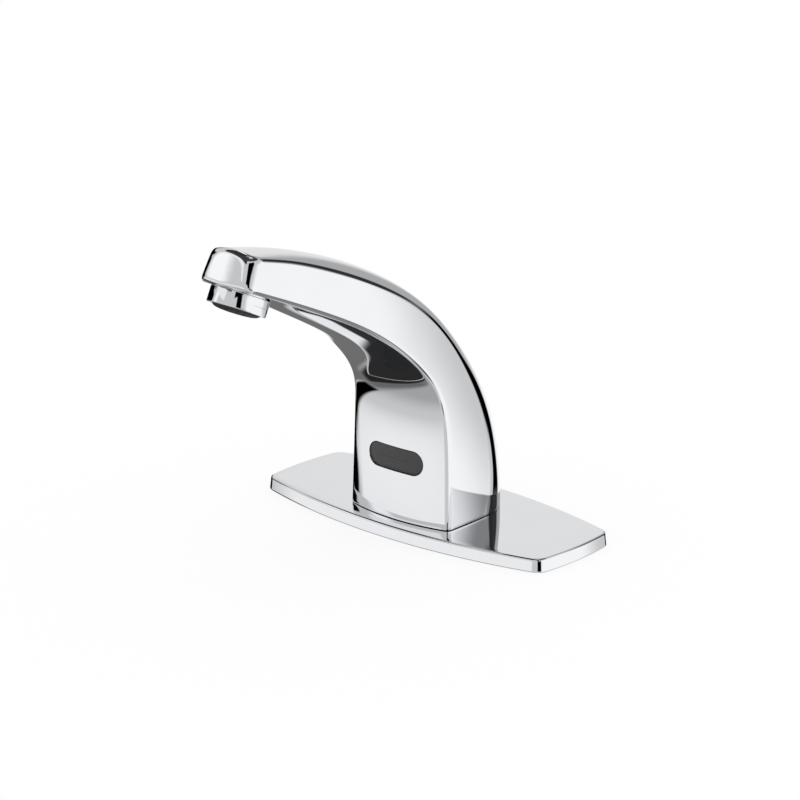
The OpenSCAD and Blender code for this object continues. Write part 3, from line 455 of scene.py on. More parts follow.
# Electroplated chromium over polished nickel: a mirror, very faintly cloudy where it was buffed.
CHROME = Finish("polished_chrome_plate", "EDEEF0", "E8E9EC", 1.0, 0.025, Pattern.CLOUD, 18.0, 0.0, 0.012)
# Infrared-clear polycarbonate: looks dark grey, with a soft moulded gloss.
LENS = Finish("dark_infrared_polycarbonate", "343435", "303031", 0.0, 0.24, Pattern.CLOUD, 6.0, 0.02, 0.03)
# Nitrile rubber, press-moulded: near black and dull, with a fine bloom.
RUBBER = Finish("moulded_nitrile_rubber", "1B1B1B", "131313", 0.0, 0.62, Pattern.GRAIN, 0.8, 0.3, 0.08)
# Turned and milled brass: bright yellow with faint tool lines.
BRASS = Finish("turned_brass", "C9A45C", "B58F49", 1.0, 0.24, Pattern.TURNED, 0.5, 0.25, 0.06)
# Bright stainless steel, drawn and ground: grey with fine lines along it.
STEEL = Finish("bright_stainless_steel", "C4C5C6", "B4B5B7", 1.0, 0.22, Pattern.DRAWN, 0.6, 0.2, 0.06)
# Zinc-plated mild steel strip: bluish grey and a little cloudy.
ZINC = Finish("zinc_plated_steel", "B9BDC6", "A7ABB5", 1.0, 0.34, Pattern.CLOUD, 2.5, 0.15, 0.08)
# Drawn copper tube: warm pink metal with lines along the draw.
COPPER = Finish("drawn_copper", "C77E5B", "B06A48", 1.0, 0.22, Pattern.DRAWN, 0.8, 0.15, 0.06)
# Enamelled copper wire laid in even turns: dark amber ridges.
WINDING = Finish("enamelled_copper_wire", "8A4A22", "4B230E", 0.6, 0.28, Pattern.WOUND, 0.4, 1.0, coat=0.4)
# Acetal, moulded: milky white with a waxy gloss.
ACETAL = Finish("moulded_acetal", "ECEBE4", "E2E1D9", 0.0, 0.38, Pattern.GRAIN, 1.2, 0.12, ior=1.48)
# Glass-filled nylon, moulded: near black with a fine spark-eroded grain.
NYLON = Finish("glass_filled_nylon", "262628", "1C1C1E", 0.0, 0.48, Pattern.GRAIN, 0.5, 0.35, 0.08, 1.53)
# Dark grey acetal of the jet insert, moulded and dull; its grey is set darker and mottled towards near
# black as painted shade of the recess under the housing's lip.
JETS = Finish("moulded_grey_acetal", "262729", "111112", 0.0, 0.5, Pattern.GRAIN, 1.2, 0.4, 0.08, 1.48)
# Glass-fibre circuit board under green solder mask, with a hint of its tracks.
BOARD = Finish("solder_masked_board", "1F6B3A", "2F7F4C", 0.0, 0.32, Pattern.TRACKS, 2.4, 0.3, coat=0.3)
# Tinted epoxies of the diodes: wet-looking and smooth.
BLUE_EPOXY, DARK_EPOXY, RED_EPOXY = (
    Finish(name, colour, dark, 0.0, 0.08, Pattern.CLOUD, 2.0, 0.02, 0.02, 1.52, 0.5)
    for name, colour, dark in (
        ("blue_tinted_epoxy", "6F86B8", "5F76A8"),
        ("dark_tinted_epoxy", "17171B", "101013"),
        ("red_tinted_epoxy", "A8211B", "8F1914"),
    )
)
# Extruded PVC sheath: dark grey with a satin surface.
SHEATH = Finish("extruded_pvc_sheath", "2B2B2D", "232325", 0.0, 0.42, Pattern.GRAIN, 0.9, 0.2, ior=1.53)

# The CAD nodes that stay in view as they are, by finish.
CAD_FINISHES: dict[Finish, tuple[str, ...]] = {
    RUBBER: (
        "deck_gasket", "foot_gasket", "cable_grommet", "rubber_washer", "check_o_ring",
        "inlet_o_ring", "diaphragm", "seat_washer", "plunger_seal", "tube_o_rings", "lens_gasket",
        "aerator_gasket",
    ),
    BRASS: ("base_insert", "inlet_shank", "lock_nut", "valve_body", "outlet_elbow"),
    STEEL: (
        "base_screws", "locating_pins", "steel_washer", "valve_mount_screws", "valve_screws",
        "armature_tube", "plunger", "fixed_core", "coil_nut", "sensor_screws", "aerator_screen",
    ),
    ACETAL: ("inlet_filter", "check_cage", "check_poppet", "diaphragm_core"),
    NYLON: ("valve_bonnet", "coil_bobbin", "sensor_case", "sensor_cover"),
    WINDING: ("coil_winding",),
    ZINC: ("coil_yoke",),
    COPPER: ("outlet_tube",),
    BOARD: ("sensor_board",),
    BLUE_EPOXY: ("ir_emitter",),
    DARK_EPOXY: ("ir_receiver",),
    RED_EPOXY: ("status_led",),
    SHEATH: ("sensor_cable", "coil_lead"),
}


def dress_cad_nodes() -> None:
    """Gives each CAD node that stays in view its finish."""
    for finish, nodes in CAD_FINISHES.items():
        for node in nodes:
            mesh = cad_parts[node].data
            if not mesh.materials:
                mesh.materials.append(finish.material())
            for i in range(len(mesh.materials)):
                mesh.materials[i] = finish.material()
            LOG.info("dressed %s as %s", node, finish.name)


# The pieces that the CAD model draws plainly


@dataclass(frozen=True)
class Section:
    """One section of the body, in millimetres: its two pairs of creases and its two bulges."""

    lower: Vector
    lower_half: float
    upper: Vector
    upper_half: float
    belly: float
    crown: float


@dataclass
class SpoutBody:
    """The cast body: a skin through ten sections, its nose cap and the window's hole."""

    reach: float = 125.2
    rise: float = 135.3
    half_width: float = 28.0
    foot_height: float = 6.3
    wall: float = 2.8
    lower_crease: float = 2.0
    upper_crease: float = 1.7
    nose_ease: float = 0.8
    nose_round: float = 2.2
    nose_corner: float = 5.0
    nose_bow: float = 1.1
    foot_skirt: float = 0.4
    side_bow_share: float = 0.008
    nose_half_share: float = 0.53
    nose_steps: int = 9
    nose_shares: tuple[float, ...] = (0.85, 0.6, 0.3)
    rings_per_section: int = 8
    front_sections: float = 4.0
    halvings: int = 40
    crisp_degrees: float = 30.0
    # How much wider than the window its hole is, and how far behind the face, ring by ring.
    window_flare: tuple[Pair, ...] = ((0.3, -3.0), (0.2, -0.1), (0.0, 0.3), (0.0, 12.0))
    # Forward, up and half width of the lower creases, the same of the upper ones, belly and crown,
    # as shares of the reach, the rise and the half width.
    sections: tuple[tuple[float, ...], ...] = (
        (0.180, 0.000, 1.000, -0.020, 0.000, 0.985, 0.150, 0.945),
        (0.177, 0.150, 0.980, -0.054, 0.110, 0.950, 0.135, 0.800),
        (0.178, 0.320, 0.945, -0.044, 0.270, 0.885, 0.105, 0.740),
        (0.210, 0.455, 0.880, 0.005, 0.420, 0.805, 0.135, 0.665),
        (0.323, 0.577, 0.845, 0.088, 0.565, 0.745, 0.220, 0.495),
        (0.464, 0.680, 0.785, 0.235, 0.712, 0.670, 0.280, 0.370),
        (0.621, 0.760, 0.705, 0.460, 0.838, 0.600, 0.205, 0.260),
        (0.782, 0.827, 0.620, 0.699, 0.932, 0.515, 0.110, 0.145),
        (0.895, 0.870, 0.555, 0.846, 0.974, 0.470, 0.045, 0.095),
        (1.000, 0.910, 0.530, 0.960, 1.000, 0.447, 0.020, 0.060),
    )

    def __post_init__(self) -> None:
        """Prepares the fair curves along the body."""
        sizes = (self.reach, self.rise, self.half_width) * 2 + (self.half_width,) * 2
        columns = zip(zip(*self.sections), sizes)
        self.curves = [fair_curve([share * size for share in column]) for column, size in columns]

    def section_at(self, t: float) -> Section:
        """Gives the section at a place along the body, 0 at its foot.

        Args:
            t: The place, counted in sections.

        Returns:
            The section there.
        """
        ahead, up, half, top_ahead, top_up, top_half, belly, crown = (c(t) for c in self.curves)
        lower = Vector((-ahead, self.foot_height + up))
        upper = Vector((-top_ahead, self.foot_height + top_up))
        return Section(lower, half, upper, top_half, belly, crown)

    def front_at(self, height: float) -> Pair:
        """Finds the middle of the front face at a height.

        Args:
            height: The height, in millimetres.

        Returns:
            How far forward it is there, as -Y, and the radius of its bow.
        """
        low, high = 0.0, self.front_sections
        for _ in range(self.halvings):
            t = (low + high) / 2.0
            s = self.section_at(t)
            along = (s.upper - s.lower).normalized()
            if s.lower.y - along.y * s.belly < height:
                low = t
            else:
                high = t
        return s.lower.x - along.x * s.belly, arc_radius(s.lower_half, s.belly)

    def ring(
        self, s: Section, inset: float = 0.0, narrow: float = 0.0, ease: float = 0.0
    ) -> list[Vector]:
        """Draws a section's outline in space.

        The right half runs from the middle of the belly to that of the crown, and is mirrored.

        Args:
            s: The section.
            inset: How far its belly and crown are drawn in, in millimetres.
            narrow: How far its sides are drawn in, in millimetres.
            ease: How much rounder than the section's own its upper crease is, in millimetres.

        Returns:
            The ring's points, in metres.
        """
        low, top = inset, (s.upper - s.lower).length - inset
        low_half, top_half = s.lower_half - narrow, s.upper_half - narrow
        low_corner, top_corner = Vector((low_half, low)), Vector((top_half, top))
        up = (top_corner - low_corner).normalized()
        top_round = self.upper_crease + ease
        low_share = 1.0 - self.lower_crease / arc_length(low_half, s.belly)
        top_share = 1.0 - top_round / arc_length(top_half, s.crown)
        arc_steps, crease_steps, side_steps = 12, 6, 8
        points: list[Pair] = []
        for i in range(arc_steps):
            x, y = arc_point(low_half, s.belly, low_share * i / arc_steps)
            points.append((x, low - y))
        x, y = arc_point(low_half, s.belly, low_share)
        foot, head = low_corner + up * self.lower_crease, top_corner - up * top_round
        points += rounded((x, low - y), low_corner.to_tuple(), foot.to_tuple(), crease_steps)
        bow = Vector((up.y, -up.x)) * (head - foot).length * self.side_bow_share
        for i in range(1, side_steps):
            u = i / side_steps
            p = foot.lerp(head, u) + bow * 4.0 * u * (1.0 - u)
            points.append((p.x, p.y))
        x, y = arc_point(top_half, s.crown, top_share)
        points += rounded(head.to_tuple(), top_corner.to_tuple(), (x, top + y), crease_steps)
        for i in range(arc_steps - 1, -1, -1):
            x, y = arc_point(top_half, s.crown, top_share * i / arc_steps)
            points.append((x, top + y))
        full = points + [(-x, y) for x, y in points[-2:0:-1]]
        along = (s.upper - s.lower).normalized()
        return [Vector((x, s.lower.x + along.x * q, s.lower.y + along.y * q)) * MM for x, q in full]

    def skin(self, bm: Draft) -> None:
        """Draws the outer skin, open at the foot and closed over the nose.

        Args:
            bm: The mesh that the skin is added to.
        """
        last = len(self.sections) - 1
        end = self.section_at(last)
        before = self.section_at(last - 1)
        pitch = ((end.lower + end.upper) - (before.lower + before.upper)).length / 2
        count = int((last - self.nose_corner / pitch) * self.rings_per_section)
        rings = [self.ring(self.section_at(i / self.rings_per_section)) for i in range(count)]
        rings.insert(0, [p - Vector((0, 0, self.foot_skirt * MM)) for p in rings[0]])
        along = (end.upper - end.lower).normalized()
        ahead = Vector((0.0, -along.y, along.x)) * self.nose_bow * MM

        def bowed(p: Vector, share: float) -> Vector:
            """Moves a point of the nose ahead, most in the middle of its width."""
            half = self.half_width * self.nose_half_share * MM
            return p + ahead * share * (1.0 - (p.x / half) ** 2)

        for a in quarter_turn(self.nose_steps):
            behind = self.nose_corner * (1 - math.sin(a))
            s = self.section_at(last - behind / pitch)
            share = 1.0 - behind / self.nose_corner
            inset = drawn_in(self.nose_round, behind)
            narrow = drawn_in(self.nose_corner, behind)
            ring = self.ring(s, inset, narrow, self.nose_ease * share)
            rings.append([bowed(p, share) for p in ring])
        edge = self.ring(end, self.nose_round, self.nose_corner, self.nose_ease)
        middle = sum(edge, Vector()) / len(edge)
        for share in self.nose_shares:
            rings.append([bowed(middle.lerp(p, share), 1.0) for p in edge])
        pole = bowed(middle, 1.0)
        loops = loft(bm, [*rings, [pole] * len(edge)])
        bmesh.ops.pointmerge(bm, verts=loops[-1], merge_co=pole)

    def window_cutter(self, window: "SensorWindow") -> Piece:
        """Makes the block that opens the window's hole, flared at the skin.

        Args:
            window: The window, for its outline and place.

        Returns:
            The cutter.
        """
        *bowed, flat = ((grow, window.face_y + depth) for grow, depth in self.window_flare)
        rings = [window.pill(*ring, bowed=True) for ring in bowed]
        bm = bmesh.new()
        loft(bm, [*rings, window.pill(*flat, bowed=False)], capped=True)
        return finished("window_cutter", bm, CHROME.material())

    def build(self, window: "SensorWindow") -> Piece:
        """Builds the body and fits it in the place of the CAD body.

        Args:
            window: The window that the body is pierced for.

        Returns:
            The body.
        """
        bm = bmesh.new()
        self.skin(bm)
        body = finished("spout_skin", bm, CHROME.material(), HALF_TURN)
        wall = body.modifiers.new("wall", "SOLIDIFY")
        wall.thickness, wall.offset = self.wall * MM, -1.0
        fine = body.modifiers.new("fine", "SUBSURF")
        fine.levels = fine.render_levels = 1
        with_modifiers_applied(body)
        cut_away(body, self.window_cutter(window))
        body.data.set_sharp_from_angle(angle=math.radians(self.crisp_degrees))
        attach(body, "tap")
        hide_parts("spout_body")
        return body


@dataclass(frozen=True)
class NoseFrame:
    """The aerator's own frame under the nose: its Z runs up the axis, from the seat."""

    reach: float = SpoutBody.reach
    edge_height: float = SpoutBody.foot_height + SpoutBody.sections[-1][1] * SpoutBody.rise
    tilt: float = 25.5
    setback: float = 11.5

    def matrix(self) -> Matrix:
        """Gives the transform from the aerator's frame to the tap's.

        Returns:
            The transform.
        """
        place = Matrix.Translation(Vector((0, -self.reach, self.edge_height)) * MM)
        lean = Matrix.Rotation(math.radians(-self.tilt), 4, "X")
        back = Matrix.Translation(Vector((0, self.setback, 0)) * MM)
        return place @ lean @ back


@dataclass(frozen=True)
class AeratorHousing:
    """The turned cap under the nose: a rounded cylinder with two wrench flats."""

    radius: float = 12.2
    bore: float = 11.0
    lip: float = 10.0
    top: float = -0.3
    length: float = 6.7
    lip_height: float = 1.2
    edge: float = 0.45
    lip_edge: float = 0.25
    bore_edge: float = 0.2
    steps: int = 96
    flat_depth: float = 0.8
    flat_height: float = 3.2
    flat_edge: float = 0.12
    flat_block: tuple[float, float, float] = (4.0, 30.0, 8.0)
    crisp_degrees: float = 35.0
    nipple_radius: float = 10.9
    nipple_bore: float = 8.5
    nipple_top: float = 0.9
    nipple_end: float = -3.3
    nipple_steps: int = 64
    nose: NoseFrame = NoseFrame()

    def build(self) -> list[Piece]:
        """Builds the cap and the threaded nipple that it hangs from.

        Returns:
            The cap and the nipple.
        """
        low, seat = self.top - self.length, self.top - self.length + self.lip_height
        outline = [(self.lip, low), (self.radius, low), (self.radius, self.top)]
        outline += [(self.bore, self.top), (self.bore, seat), (self.lip, seat)]
        radii = (self.lip_edge, self.edge, self.edge, self.bore_edge, 0.0, self.bore_edge)
        bm = bmesh.new()
        spun(bm, eased(outline, radii), self.steps)
        cap = finished("aerator_cap", bm, CHROME.material())
        cut = bmesh.new()
        across, _, tall = self.flat_block
        for side in (-1, 1):
            made = bmesh.ops.create_cube(cut, size=1.0)["verts"]
            bmesh.ops.scale(cut, vec=tuple(size * MM for size in self.flat_block), verts=made)
            x = side * (self.radius - self.flat_depth + across / 2)
            at = Vector((x, 0, low + self.flat_height - tall / 2)) * MM
            bmesh.ops.translate(cut, vec=at, verts=made)
        cut_away(cap, finished("flats_cutter", cut, CHROME.material()))
        ease = cap.modifiers.new("ease", "BEVEL")
        ease.width, ease.segments, ease.limit_method = self.flat_edge * MM, 2, "ANGLE"
        ease.angle_limit = math.radians(self.crisp_degrees)
        with_modifiers_applied(cap)
        cap.data.set_sharp_from_angle(angle=math.radians(self.crisp_degrees))
        inside = [(self.nipple_bore, z) for z in (self.nipple_top, self.nipple_end)]
        outside = [(self.nipple_radius, z) for z in (self.nipple_end, self.nipple_top)]
        thread = bmesh.new()
        spun(thread, inside + outside, self.nipple_steps)
        nipple = finished("nose_nipple", thread, CHROME.material())
        for piece, node in ((cap, "aerator_housing"), (nipple, None)):
            piece.data.transform(self.nose.matrix())
            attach(piece, "tap")
            if node:
                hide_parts(node)
        return [cap, nipple]


@dataclass(frozen=True)
class JetInsert:
    """The moulded insert of the aerator: a domed face full of jets, below the housing's lip."""

    face: float = 9.7
    flange: float = 10.6
    body: float = 8.2
    floor: float = -5.8
    flange_height: float = 0.8
    body_top: float = 2.6
    lip: float = -7.0
    dome: float = 1.6
    dome_fullness: float = 0.6
    dome_steps: int = 6
    steps: int = 72
    crisp_degrees: float = 30.0
    jet: float = 0.75
    pitch: float = 2.7
    jet_reach: float = 7.6
    jet_rows: int = 3
    pin_sides: int = 16
    pin_length: float = 16.0
    pin_middle: float = -3.0
    nose: NoseFrame = NoseFrame()

    def jets(self) -> Piece:
        """Makes the pins that pierce the insert, in a honeycomb.

        Returns:
            The pins, as one piece.
        """
        bm = bmesh.new()
        sizes = {"radius1": self.jet * MM, "radius2": self.jet * MM, "depth": self.pin_length * MM}
        rows = range(-self.jet_rows, self.jet_rows + 1)
        for row in rows:
            y = row * self.pitch * math.sqrt(3) / 2
            for place in rows:
                x = (place + row / 2) * self.pitch
                if math.hypot(x, y) > self.jet_reach:
                    continue
                pin = bmesh.ops.create_cone(bm, cap_ends=True, segments=self.pin_sides, **sizes)
                at = Vector((x, y, self.pin_middle)) * MM
                bmesh.ops.translate(bm, vec=at, verts=pin["verts"])
        return finished("jet_pins", bm, JETS.material())

    def build(self) -> Piece:
        """Builds the insert.

        Returns:
            The insert.
        """
        ledge = self.floor + self.flange_height
        outline = [(0.0, self.body_top), (self.body, self.body_top), (self.body, ledge)]
        outline += [(self.flange, ledge), (self.flange, self.floor), (self.face, self.floor)]
        outline.append((self.face, self.lip))
        for a in quarter_turn(self.dome_steps)[1:-1]:
            out = self.face * math.cos(a) ** self.dome_fullness
            outline.append((out, self.lip - self.dome * math.sin(a)))
        outline.append((0.0, self.lip - self.dome))
        bm = bmesh.new()
        spun(bm, outline, self.steps)
        insert = finished("jet_insert", bm, JETS.material(), self.crisp_degrees)
        cut_away(insert, self.jets())
        insert.data.set_sharp_from_angle(angle=math.radians(self.crisp_degrees))
        insert.data.transform(self.nose.matrix())
        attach(insert, "tap")
        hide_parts("aerator_insert")
        return insert


@dataclass(frozen=True)
class SensorWindow:
    """The dark pill-shaped lens, set a little behind the body's face."""

    face_y: float
    bow_radius: float
    width: float = 30.5
    height: float = 10.6
    up: float = 32.6
    gap: float = 0.15
    recess: float = 0.25
    edge: float = 0.35
    edge_knee: float = 0.3
    front_insets: tuple[float, ...] = (1.0, 2.4, 3.8, 4.75)
    flange: float = 2.0
    flange_front: float = 6.1
    flange_back: float = 7.5
    corner_steps: int = 20
    straight_steps: int = 12

    def pill(self, grow: float, y: float, bowed: bool) -> list[Vector]:
        """Draws the pill's outline.

        Args:
            grow: How much wider than the hole it is on each side, in millimetres.
            y: Where it lies, in millimetres.
            bowed: Whether it follows the face's bow.

        Returns:
            The points, in metres.
        """
        r = self.height / 2 + grow
        half = self.width / 2 + grow - r
        outline = []
        for side in (1, -1):
            for i in range(self.corner_steps + 1):
                a = math.pi * (i / self.corner_steps - 0.5) * side
                outline.append((side * (half + r * abs(math.cos(a))), r * math.sin(a)))
            for i in range(1, self.straight_steps):
                outline.append((side * half * (1 - 2 * i / self.straight_steps), side * r))
        points = []
        for x, z in outline:
            bow = self.bow_radius - math.sqrt(self.bow_radius**2 - x**2) if bowed else 0.0
            points.append(Vector((x, y + bow, self.up + z)) * MM)
        return points

    def build(self) -> Piece:
        """Builds the lens with its flange and softened front edge.

        Returns:
            The lens.
        """
        front = self.face_y + self.recess
        knee = self.edge_knee * self.edge
        rings = [
            self.pill(self.flange, self.face_y + self.flange_back, False),
            self.pill(self.flange, self.face_y + self.flange_front, False),
            self.pill(-self.gap, self.face_y + self.flange_front, False),
            self.pill(-self.gap, front + self.edge, True),
            self.pill(-self.gap - knee, front + knee, True),
            self.pill(-self.gap - self.edge, front, True),
        ]
        for inset in self.front_insets:
            rings.append(self.pill(-self.gap - self.edge - inset, front, True))
        bm = bmesh.new()
        loft(bm, rings, capped=True)
        lens = finished("window_lens", bm, LENS.material())
        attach(lens, "tap")
        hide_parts("sensor_lens")
        return lens


@dataclass(frozen=True)
class CoverPlate:
    """The oblong plate: bowed sides and ends, drafted flanks, a softened top edge, a hollow below."""

    length: float = 160.0
    width: float = 69.0
    end_width: float = 46.0
    end_bow: float = 1.9
    corner: float = 6.4
    thickness: float = 5.8
    skin: float = 2.6
    rim: float = 2.8
    hole: float = 18.0
    draft: float = 0.5
    edge: float = 0.9
    lower_edge: float = 0.4
    # Heights on the flank, as shares of it, that hold it flat between its two rounded edges.
    flank_shares: Pair = (0.08, 0.92)
    top_inset: float = 3.0
    hole_margin: float = 2.0
    steps: int = 24
    edge_steps: int = 5
    lower_edge_steps: int = 3
    crisp_degrees: float = 50.0

    def outline(self, inset: float, z: float) -> list[Vector]:
        """Draws the plate's outline.

        Args:
            inset: How far it is drawn in, in millimetres.
            z: Its height, in millimetres.

        Returns:
            The points, in metres, starting at the middle of the front.
        """
        bow = (self.width - self.end_width) / 2
        end = self.length / 2 - self.end_bow
        side_r, end_r = arc_radius(end, bow), arc_radius(self.end_width / 2, self.end_bow)
        side_y, end_x = side_r - self.width / 2, self.length / 2 - end_r
        span = math.hypot(end_x, side_y)
        reach_side, reach_end = side_r - self.corner, end_r - self.corner
        opening = math.acos((reach_side**2 + span**2 - reach_end**2) / (2 * reach_side * span))
        lean = math.atan2(-side_y, end_x) + opening
        at = on_circle(reach_side, lean, y=side_y)
        side_a = math.atan2(at.y - side_y, at.x)
        end_a = math.atan2(at.y, at.x - end_x)
        quarter = []
        for i in range(self.steps + 1):
            a = -math.pi / 2 + (side_a + math.pi / 2) * i / self.steps
            quarter.append(on_circle(side_r - inset, a, y=side_y))
        for i in range(1, self.steps // 2 + 1):
            a = side_a + (end_a - side_a) * i * 2 / self.steps
            quarter.append(at + on_circle(self.corner - inset, a))
        for i in range(1, self.steps // 2 + 1):
            a = end_a * (1 - i * 2 / self.steps)
            quarter.append(on_circle(end_r - inset, a, end_x))
        full = quarter + [Vector((p.x, -p.y)) for p in quarter[-2::-1]]
        full += [Vector((-p.x, -p.y)) for p in quarter[1:]]
        full += [Vector((-p.x, p.y)) for p in quarter[-2:0:-1]]
        return [Vector((p.x, p.y, z)) * MM for p in full]

    def circle(self, radius: float, z: float) -> list[Vector]:
        """Draws a circle with as many points as the outline, each on the outline's own bearing.

        Args:
            radius: Its radius, in millimetres.
            z: Its height, in millimetres.

        Returns:
            The points, in metres.
        """
        return [Vector((p.x, p.y, 0)).normalized() * radius * MM + Vector((0, 0, z * MM))
                for p in self.outline(0.0, 0.0)]

    def build(self) -> Piece:
        """Builds the plate.

        Returns:
            The plate.
        """
        top, ceiling = self.thickness, self.thickness - self.skin
        boss = self.hole + self.rim
        rings = []
        for a in quarter_turn(self.lower_edge_steps):
            inset = self.lower_edge * (1 - math.sin(a))
            rings.append(self.outline(inset, self.lower_edge * (1 - math.cos(a))))
        flank = top - self.edge - self.lower_edge
        for share in self.flank_shares:
            rings.append(self.outline(self.draft * share, self.lower_edge + flank * share))
        for a in quarter_turn(self.edge_steps):
            inset = self.draft + self.edge * (1 - math.cos(a))
            rings.append(self.outline(inset, top - self.edge * (1 - math.sin(a))))
        rings.append(self.outline(self.draft + self.edge + self.top_inset, top))
        rings.append(self.circle(self.hole + self.hole_margin, top))
        rings += [self.circle(self.hole, z) for z in (top, 0.0)]
        rings += [self.circle(boss, z) for z in (0.0, ceiling)]
        rings += [self.outline(self.rim, z) for z in (ceiling, 0.0)]
        bm = bmesh.new()
        loops = loft(bm, rings)
        bmesh.ops.bridge_loops(bm, edges=ring_edges(loops[-1]) + ring_edges(loops[0]))
        plate = finished("plate_pressing", bm, CHROME.material(), self.crisp_degrees)
        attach(plate, "tap")
        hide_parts("cover_plate")
        return plate


# The springs


@dataclass(frozen=True)
class CoilSpring:
    """A compression spring of round wire with closed ends."""

    name: str
    node: str
    joint: str
    travel: float
    middle_y: float
    low: float
    high: float
    radius: float
    turns: int = 7
    wire: float = 0.56
    closed_pitch: float = 1.05
    sides: int = 10
    steps: int = 24
    nudge: float = 0.01

    def height_at(self, turn: float) -> float:
        """Gives the wire's height along the spring, whose first and last turn lie closed.

        Args:
            turn: How many turns there are below it.

        Returns:
            The height of the wire's middle, in millimetres.
        """
        closed = self.wire * self.closed_pitch
        pitch = (self.high - self.low - self.wire - 2 * closed) / (self.turns - 2)
        inner = min(max(turn - 1, 0.0), self.turns - 2.0)
        opened = self.low + self.wire / 2 + closed * min(turn, 1.0) + pitch * inner
        return opened + closed * max(turn - self.turns + 1, 0.0)

    def wire_ring(self, step: int) -> list[Vector]:
        """Draws a section of the wire.

        Args:
            step: How many steps along the spring it is.

        Returns:
            The section's points, in metres.
        """
        turn = step / self.steps
        out = Vector((math.cos(math.tau * turn), math.sin(math.tau * turn), 0.0))
        mean = self.radius - self.wire / 2
        climb = self.height_at(turn + self.nudge) - self.height_at(turn - self.nudge)
        slope = climb / (2 * self.nudge * math.tau * mean)
        across = Vector((out.y * slope, -out.x * slope, 1.0)).normalized()
        middle = out * mean + Vector((0.0, self.middle_y, self.height_at(turn)))
        ring = []
        for side in range(self.sides):
            a = math.tau * side / self.sides
            ring.append((middle + (out * math.cos(a) + across * math.sin(a)) * self.wire / 2) * MM)
        return ring

    def build(self) -> Piece:
        """Builds the spring.

        Returns:
            The spring.
        """
        bm = bmesh.new()
        loops = loft(bm, [self.wire_ring(step) for step in range(self.turns * self.steps + 1)])
        for loop in (loops[0], loops[-1]):
            bm.faces.new(loop)
        spring = finished(self.name, bm, STEEL.material())
        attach(spring, "tap")
        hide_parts(self.node)
        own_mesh(spring)
        return spring


SPRINGS = (
    CoilSpring("check_coil", "check_spring", "check_lift", 3.0, 0.0, -11.15, -2.0, 2.7),
    CoilSpring("plunger_coil", "plunger_spring", "plunger_lift", 2.0, 4.0, 44.0, 52.2, 2.0),
)


# The studio


@dataclass(frozen=True)
class Panel:
    """A soft-edged patch of the surroundings that the chrome mirrors.

    Azimuth is 0 in front of the tap and grows to the user's right. Sizes are in degrees, and a
    level of 1 mirrors as white.
    """

    azimuth: float
    elevation: float
    half_azimuth: float
    half_elevation: float
    soft: float
    level: float

    def share(self, tree: Tree, value: Socket, half: float) -> Socket:
        """Turns a distance from the panel's middle into a cover of 0 to 1 with a soft edge."""
        ends = {0: value, 1: half + self.soft / 2, 2: half - self.soft / 2}
        return add(tree, "ShaderNodeMapRange", ends, interpolation_type="SMOOTHSTEP").outputs[0]

    def laid_over(
        self, tree: Tree, azimuth: Socket, elevation: Socket, below: Socket | float
    ) -> Socket:
        """Lays the panel over what the nodes have drawn so far.

        Args:
            tree: The world's node tree.
            azimuth: The direction's azimuth, in degrees.
            elevation: The direction's elevation, in degrees.
            below: The level drawn so far.

        Returns:
            The level with the panel.
        """
        turn = maths(tree, "SUBTRACT", azimuth, self.azimuth)
        if abs(self.azimuth) + self.half_azimuth + self.soft / 2 > HALF_TURN:
            turn = maths(tree, "WRAP", turn, HALF_TURN, -HALF_TURN)
        wide = self.share(tree, maths(tree, "ABSOLUTE", turn), self.half_azimuth)
        rise = maths(tree, "ABSOLUTE", maths(tree, "SUBTRACT", elevation, self.elevation))
        cover = maths(tree, "MULTIPLY", wide, self.share(tree, rise, self.half_elevation))
        return add(tree, "ShaderNodeMix", {0: cover, 2: below, 3: self.level}).outputs[0]


# The lit panels and black flags round the tap, each laid over the ones before it.
SURROUNDINGS: tuple[Panel, ...] = (
    Panel(0, 63, 200, 12, 6, 0.05),
    Panel(-45, -72, 75, 34, 24, 0.42),
    Panel(-33, -13, 36, 8, 12, 0.98),
    Panel(-50, 16, 7, 8, 8, 1.1),
    Panel(-37, 29.5, 25, 7.5, 3, 0.95),
    Panel(110, -8, 36, 27, 14, 1.08),
    Panel(136, 20, 10, 12, 8, 1.05),
    Panel(120, -50, 22, 12, 8, 0.2),
    Panel(170, -60, 45, 24, 14, 0.25),
    Panel(-162, 8, 18, 28, 12, 0.45),
    Panel(-140, 12, 8, 30, 10, 0.85),
    Panel(-152, -16, 20, 8, 8, 1.0),
    Panel(170, 24, 14, 20, 8, 0.18),
    Panel(156, 22, 15, 12, 10, 0.28),
    Panel(165, 22, 15, 12, 4, 0.03),
    Panel(174, 20, 8, 4, 3, 0.04),
    Panel(172, -2, 14, 9, 5, 0.0),
    Panel(175, -13, 11, 7, 4, 0.0),
    Panel(-150, 40, 12, 7, 4, 0.05),
    Panel(-132, 46, 4.5, 8, 2.5, 1.1),
    Panel(49, 18, 9, 14, 3, 0.0),
    Panel(58, -8, 14, 6, 3, 0.0),
    Panel(58, -26, 10, 6, 5, 0.1),
    Panel(51, 34, 23, 7.5, 3, 0.0),
    Panel(-30, 62, 40, 26, 4, 0.05),
    Panel(-110, 64, 40, 8, 4, 0.04),
    Panel(-99, 54, 28, 14, 2.5, 0.03),
    Panel(-84, -52, 18, 16, 14, 0.15),
    Panel(-110, -31, 28, 9, 4, 0.17),
    Panel(-98, -54, 17.5, 13, 3, 0.02),
    Panel(-103, 0, 25, 20, 3, 0.0),
    Panel(-76, 19, 6, 4, 2, 0.0),
    Panel(-74, -20, 6, 4.5, 2, 0.0),
    Panel(-72, -28, 7, 10, 3, 0.0),
    Panel(-75, 4, 8, 8, 4, 0.0),
    Panel(93, -60, 9, 12, 5, 0.01),
)


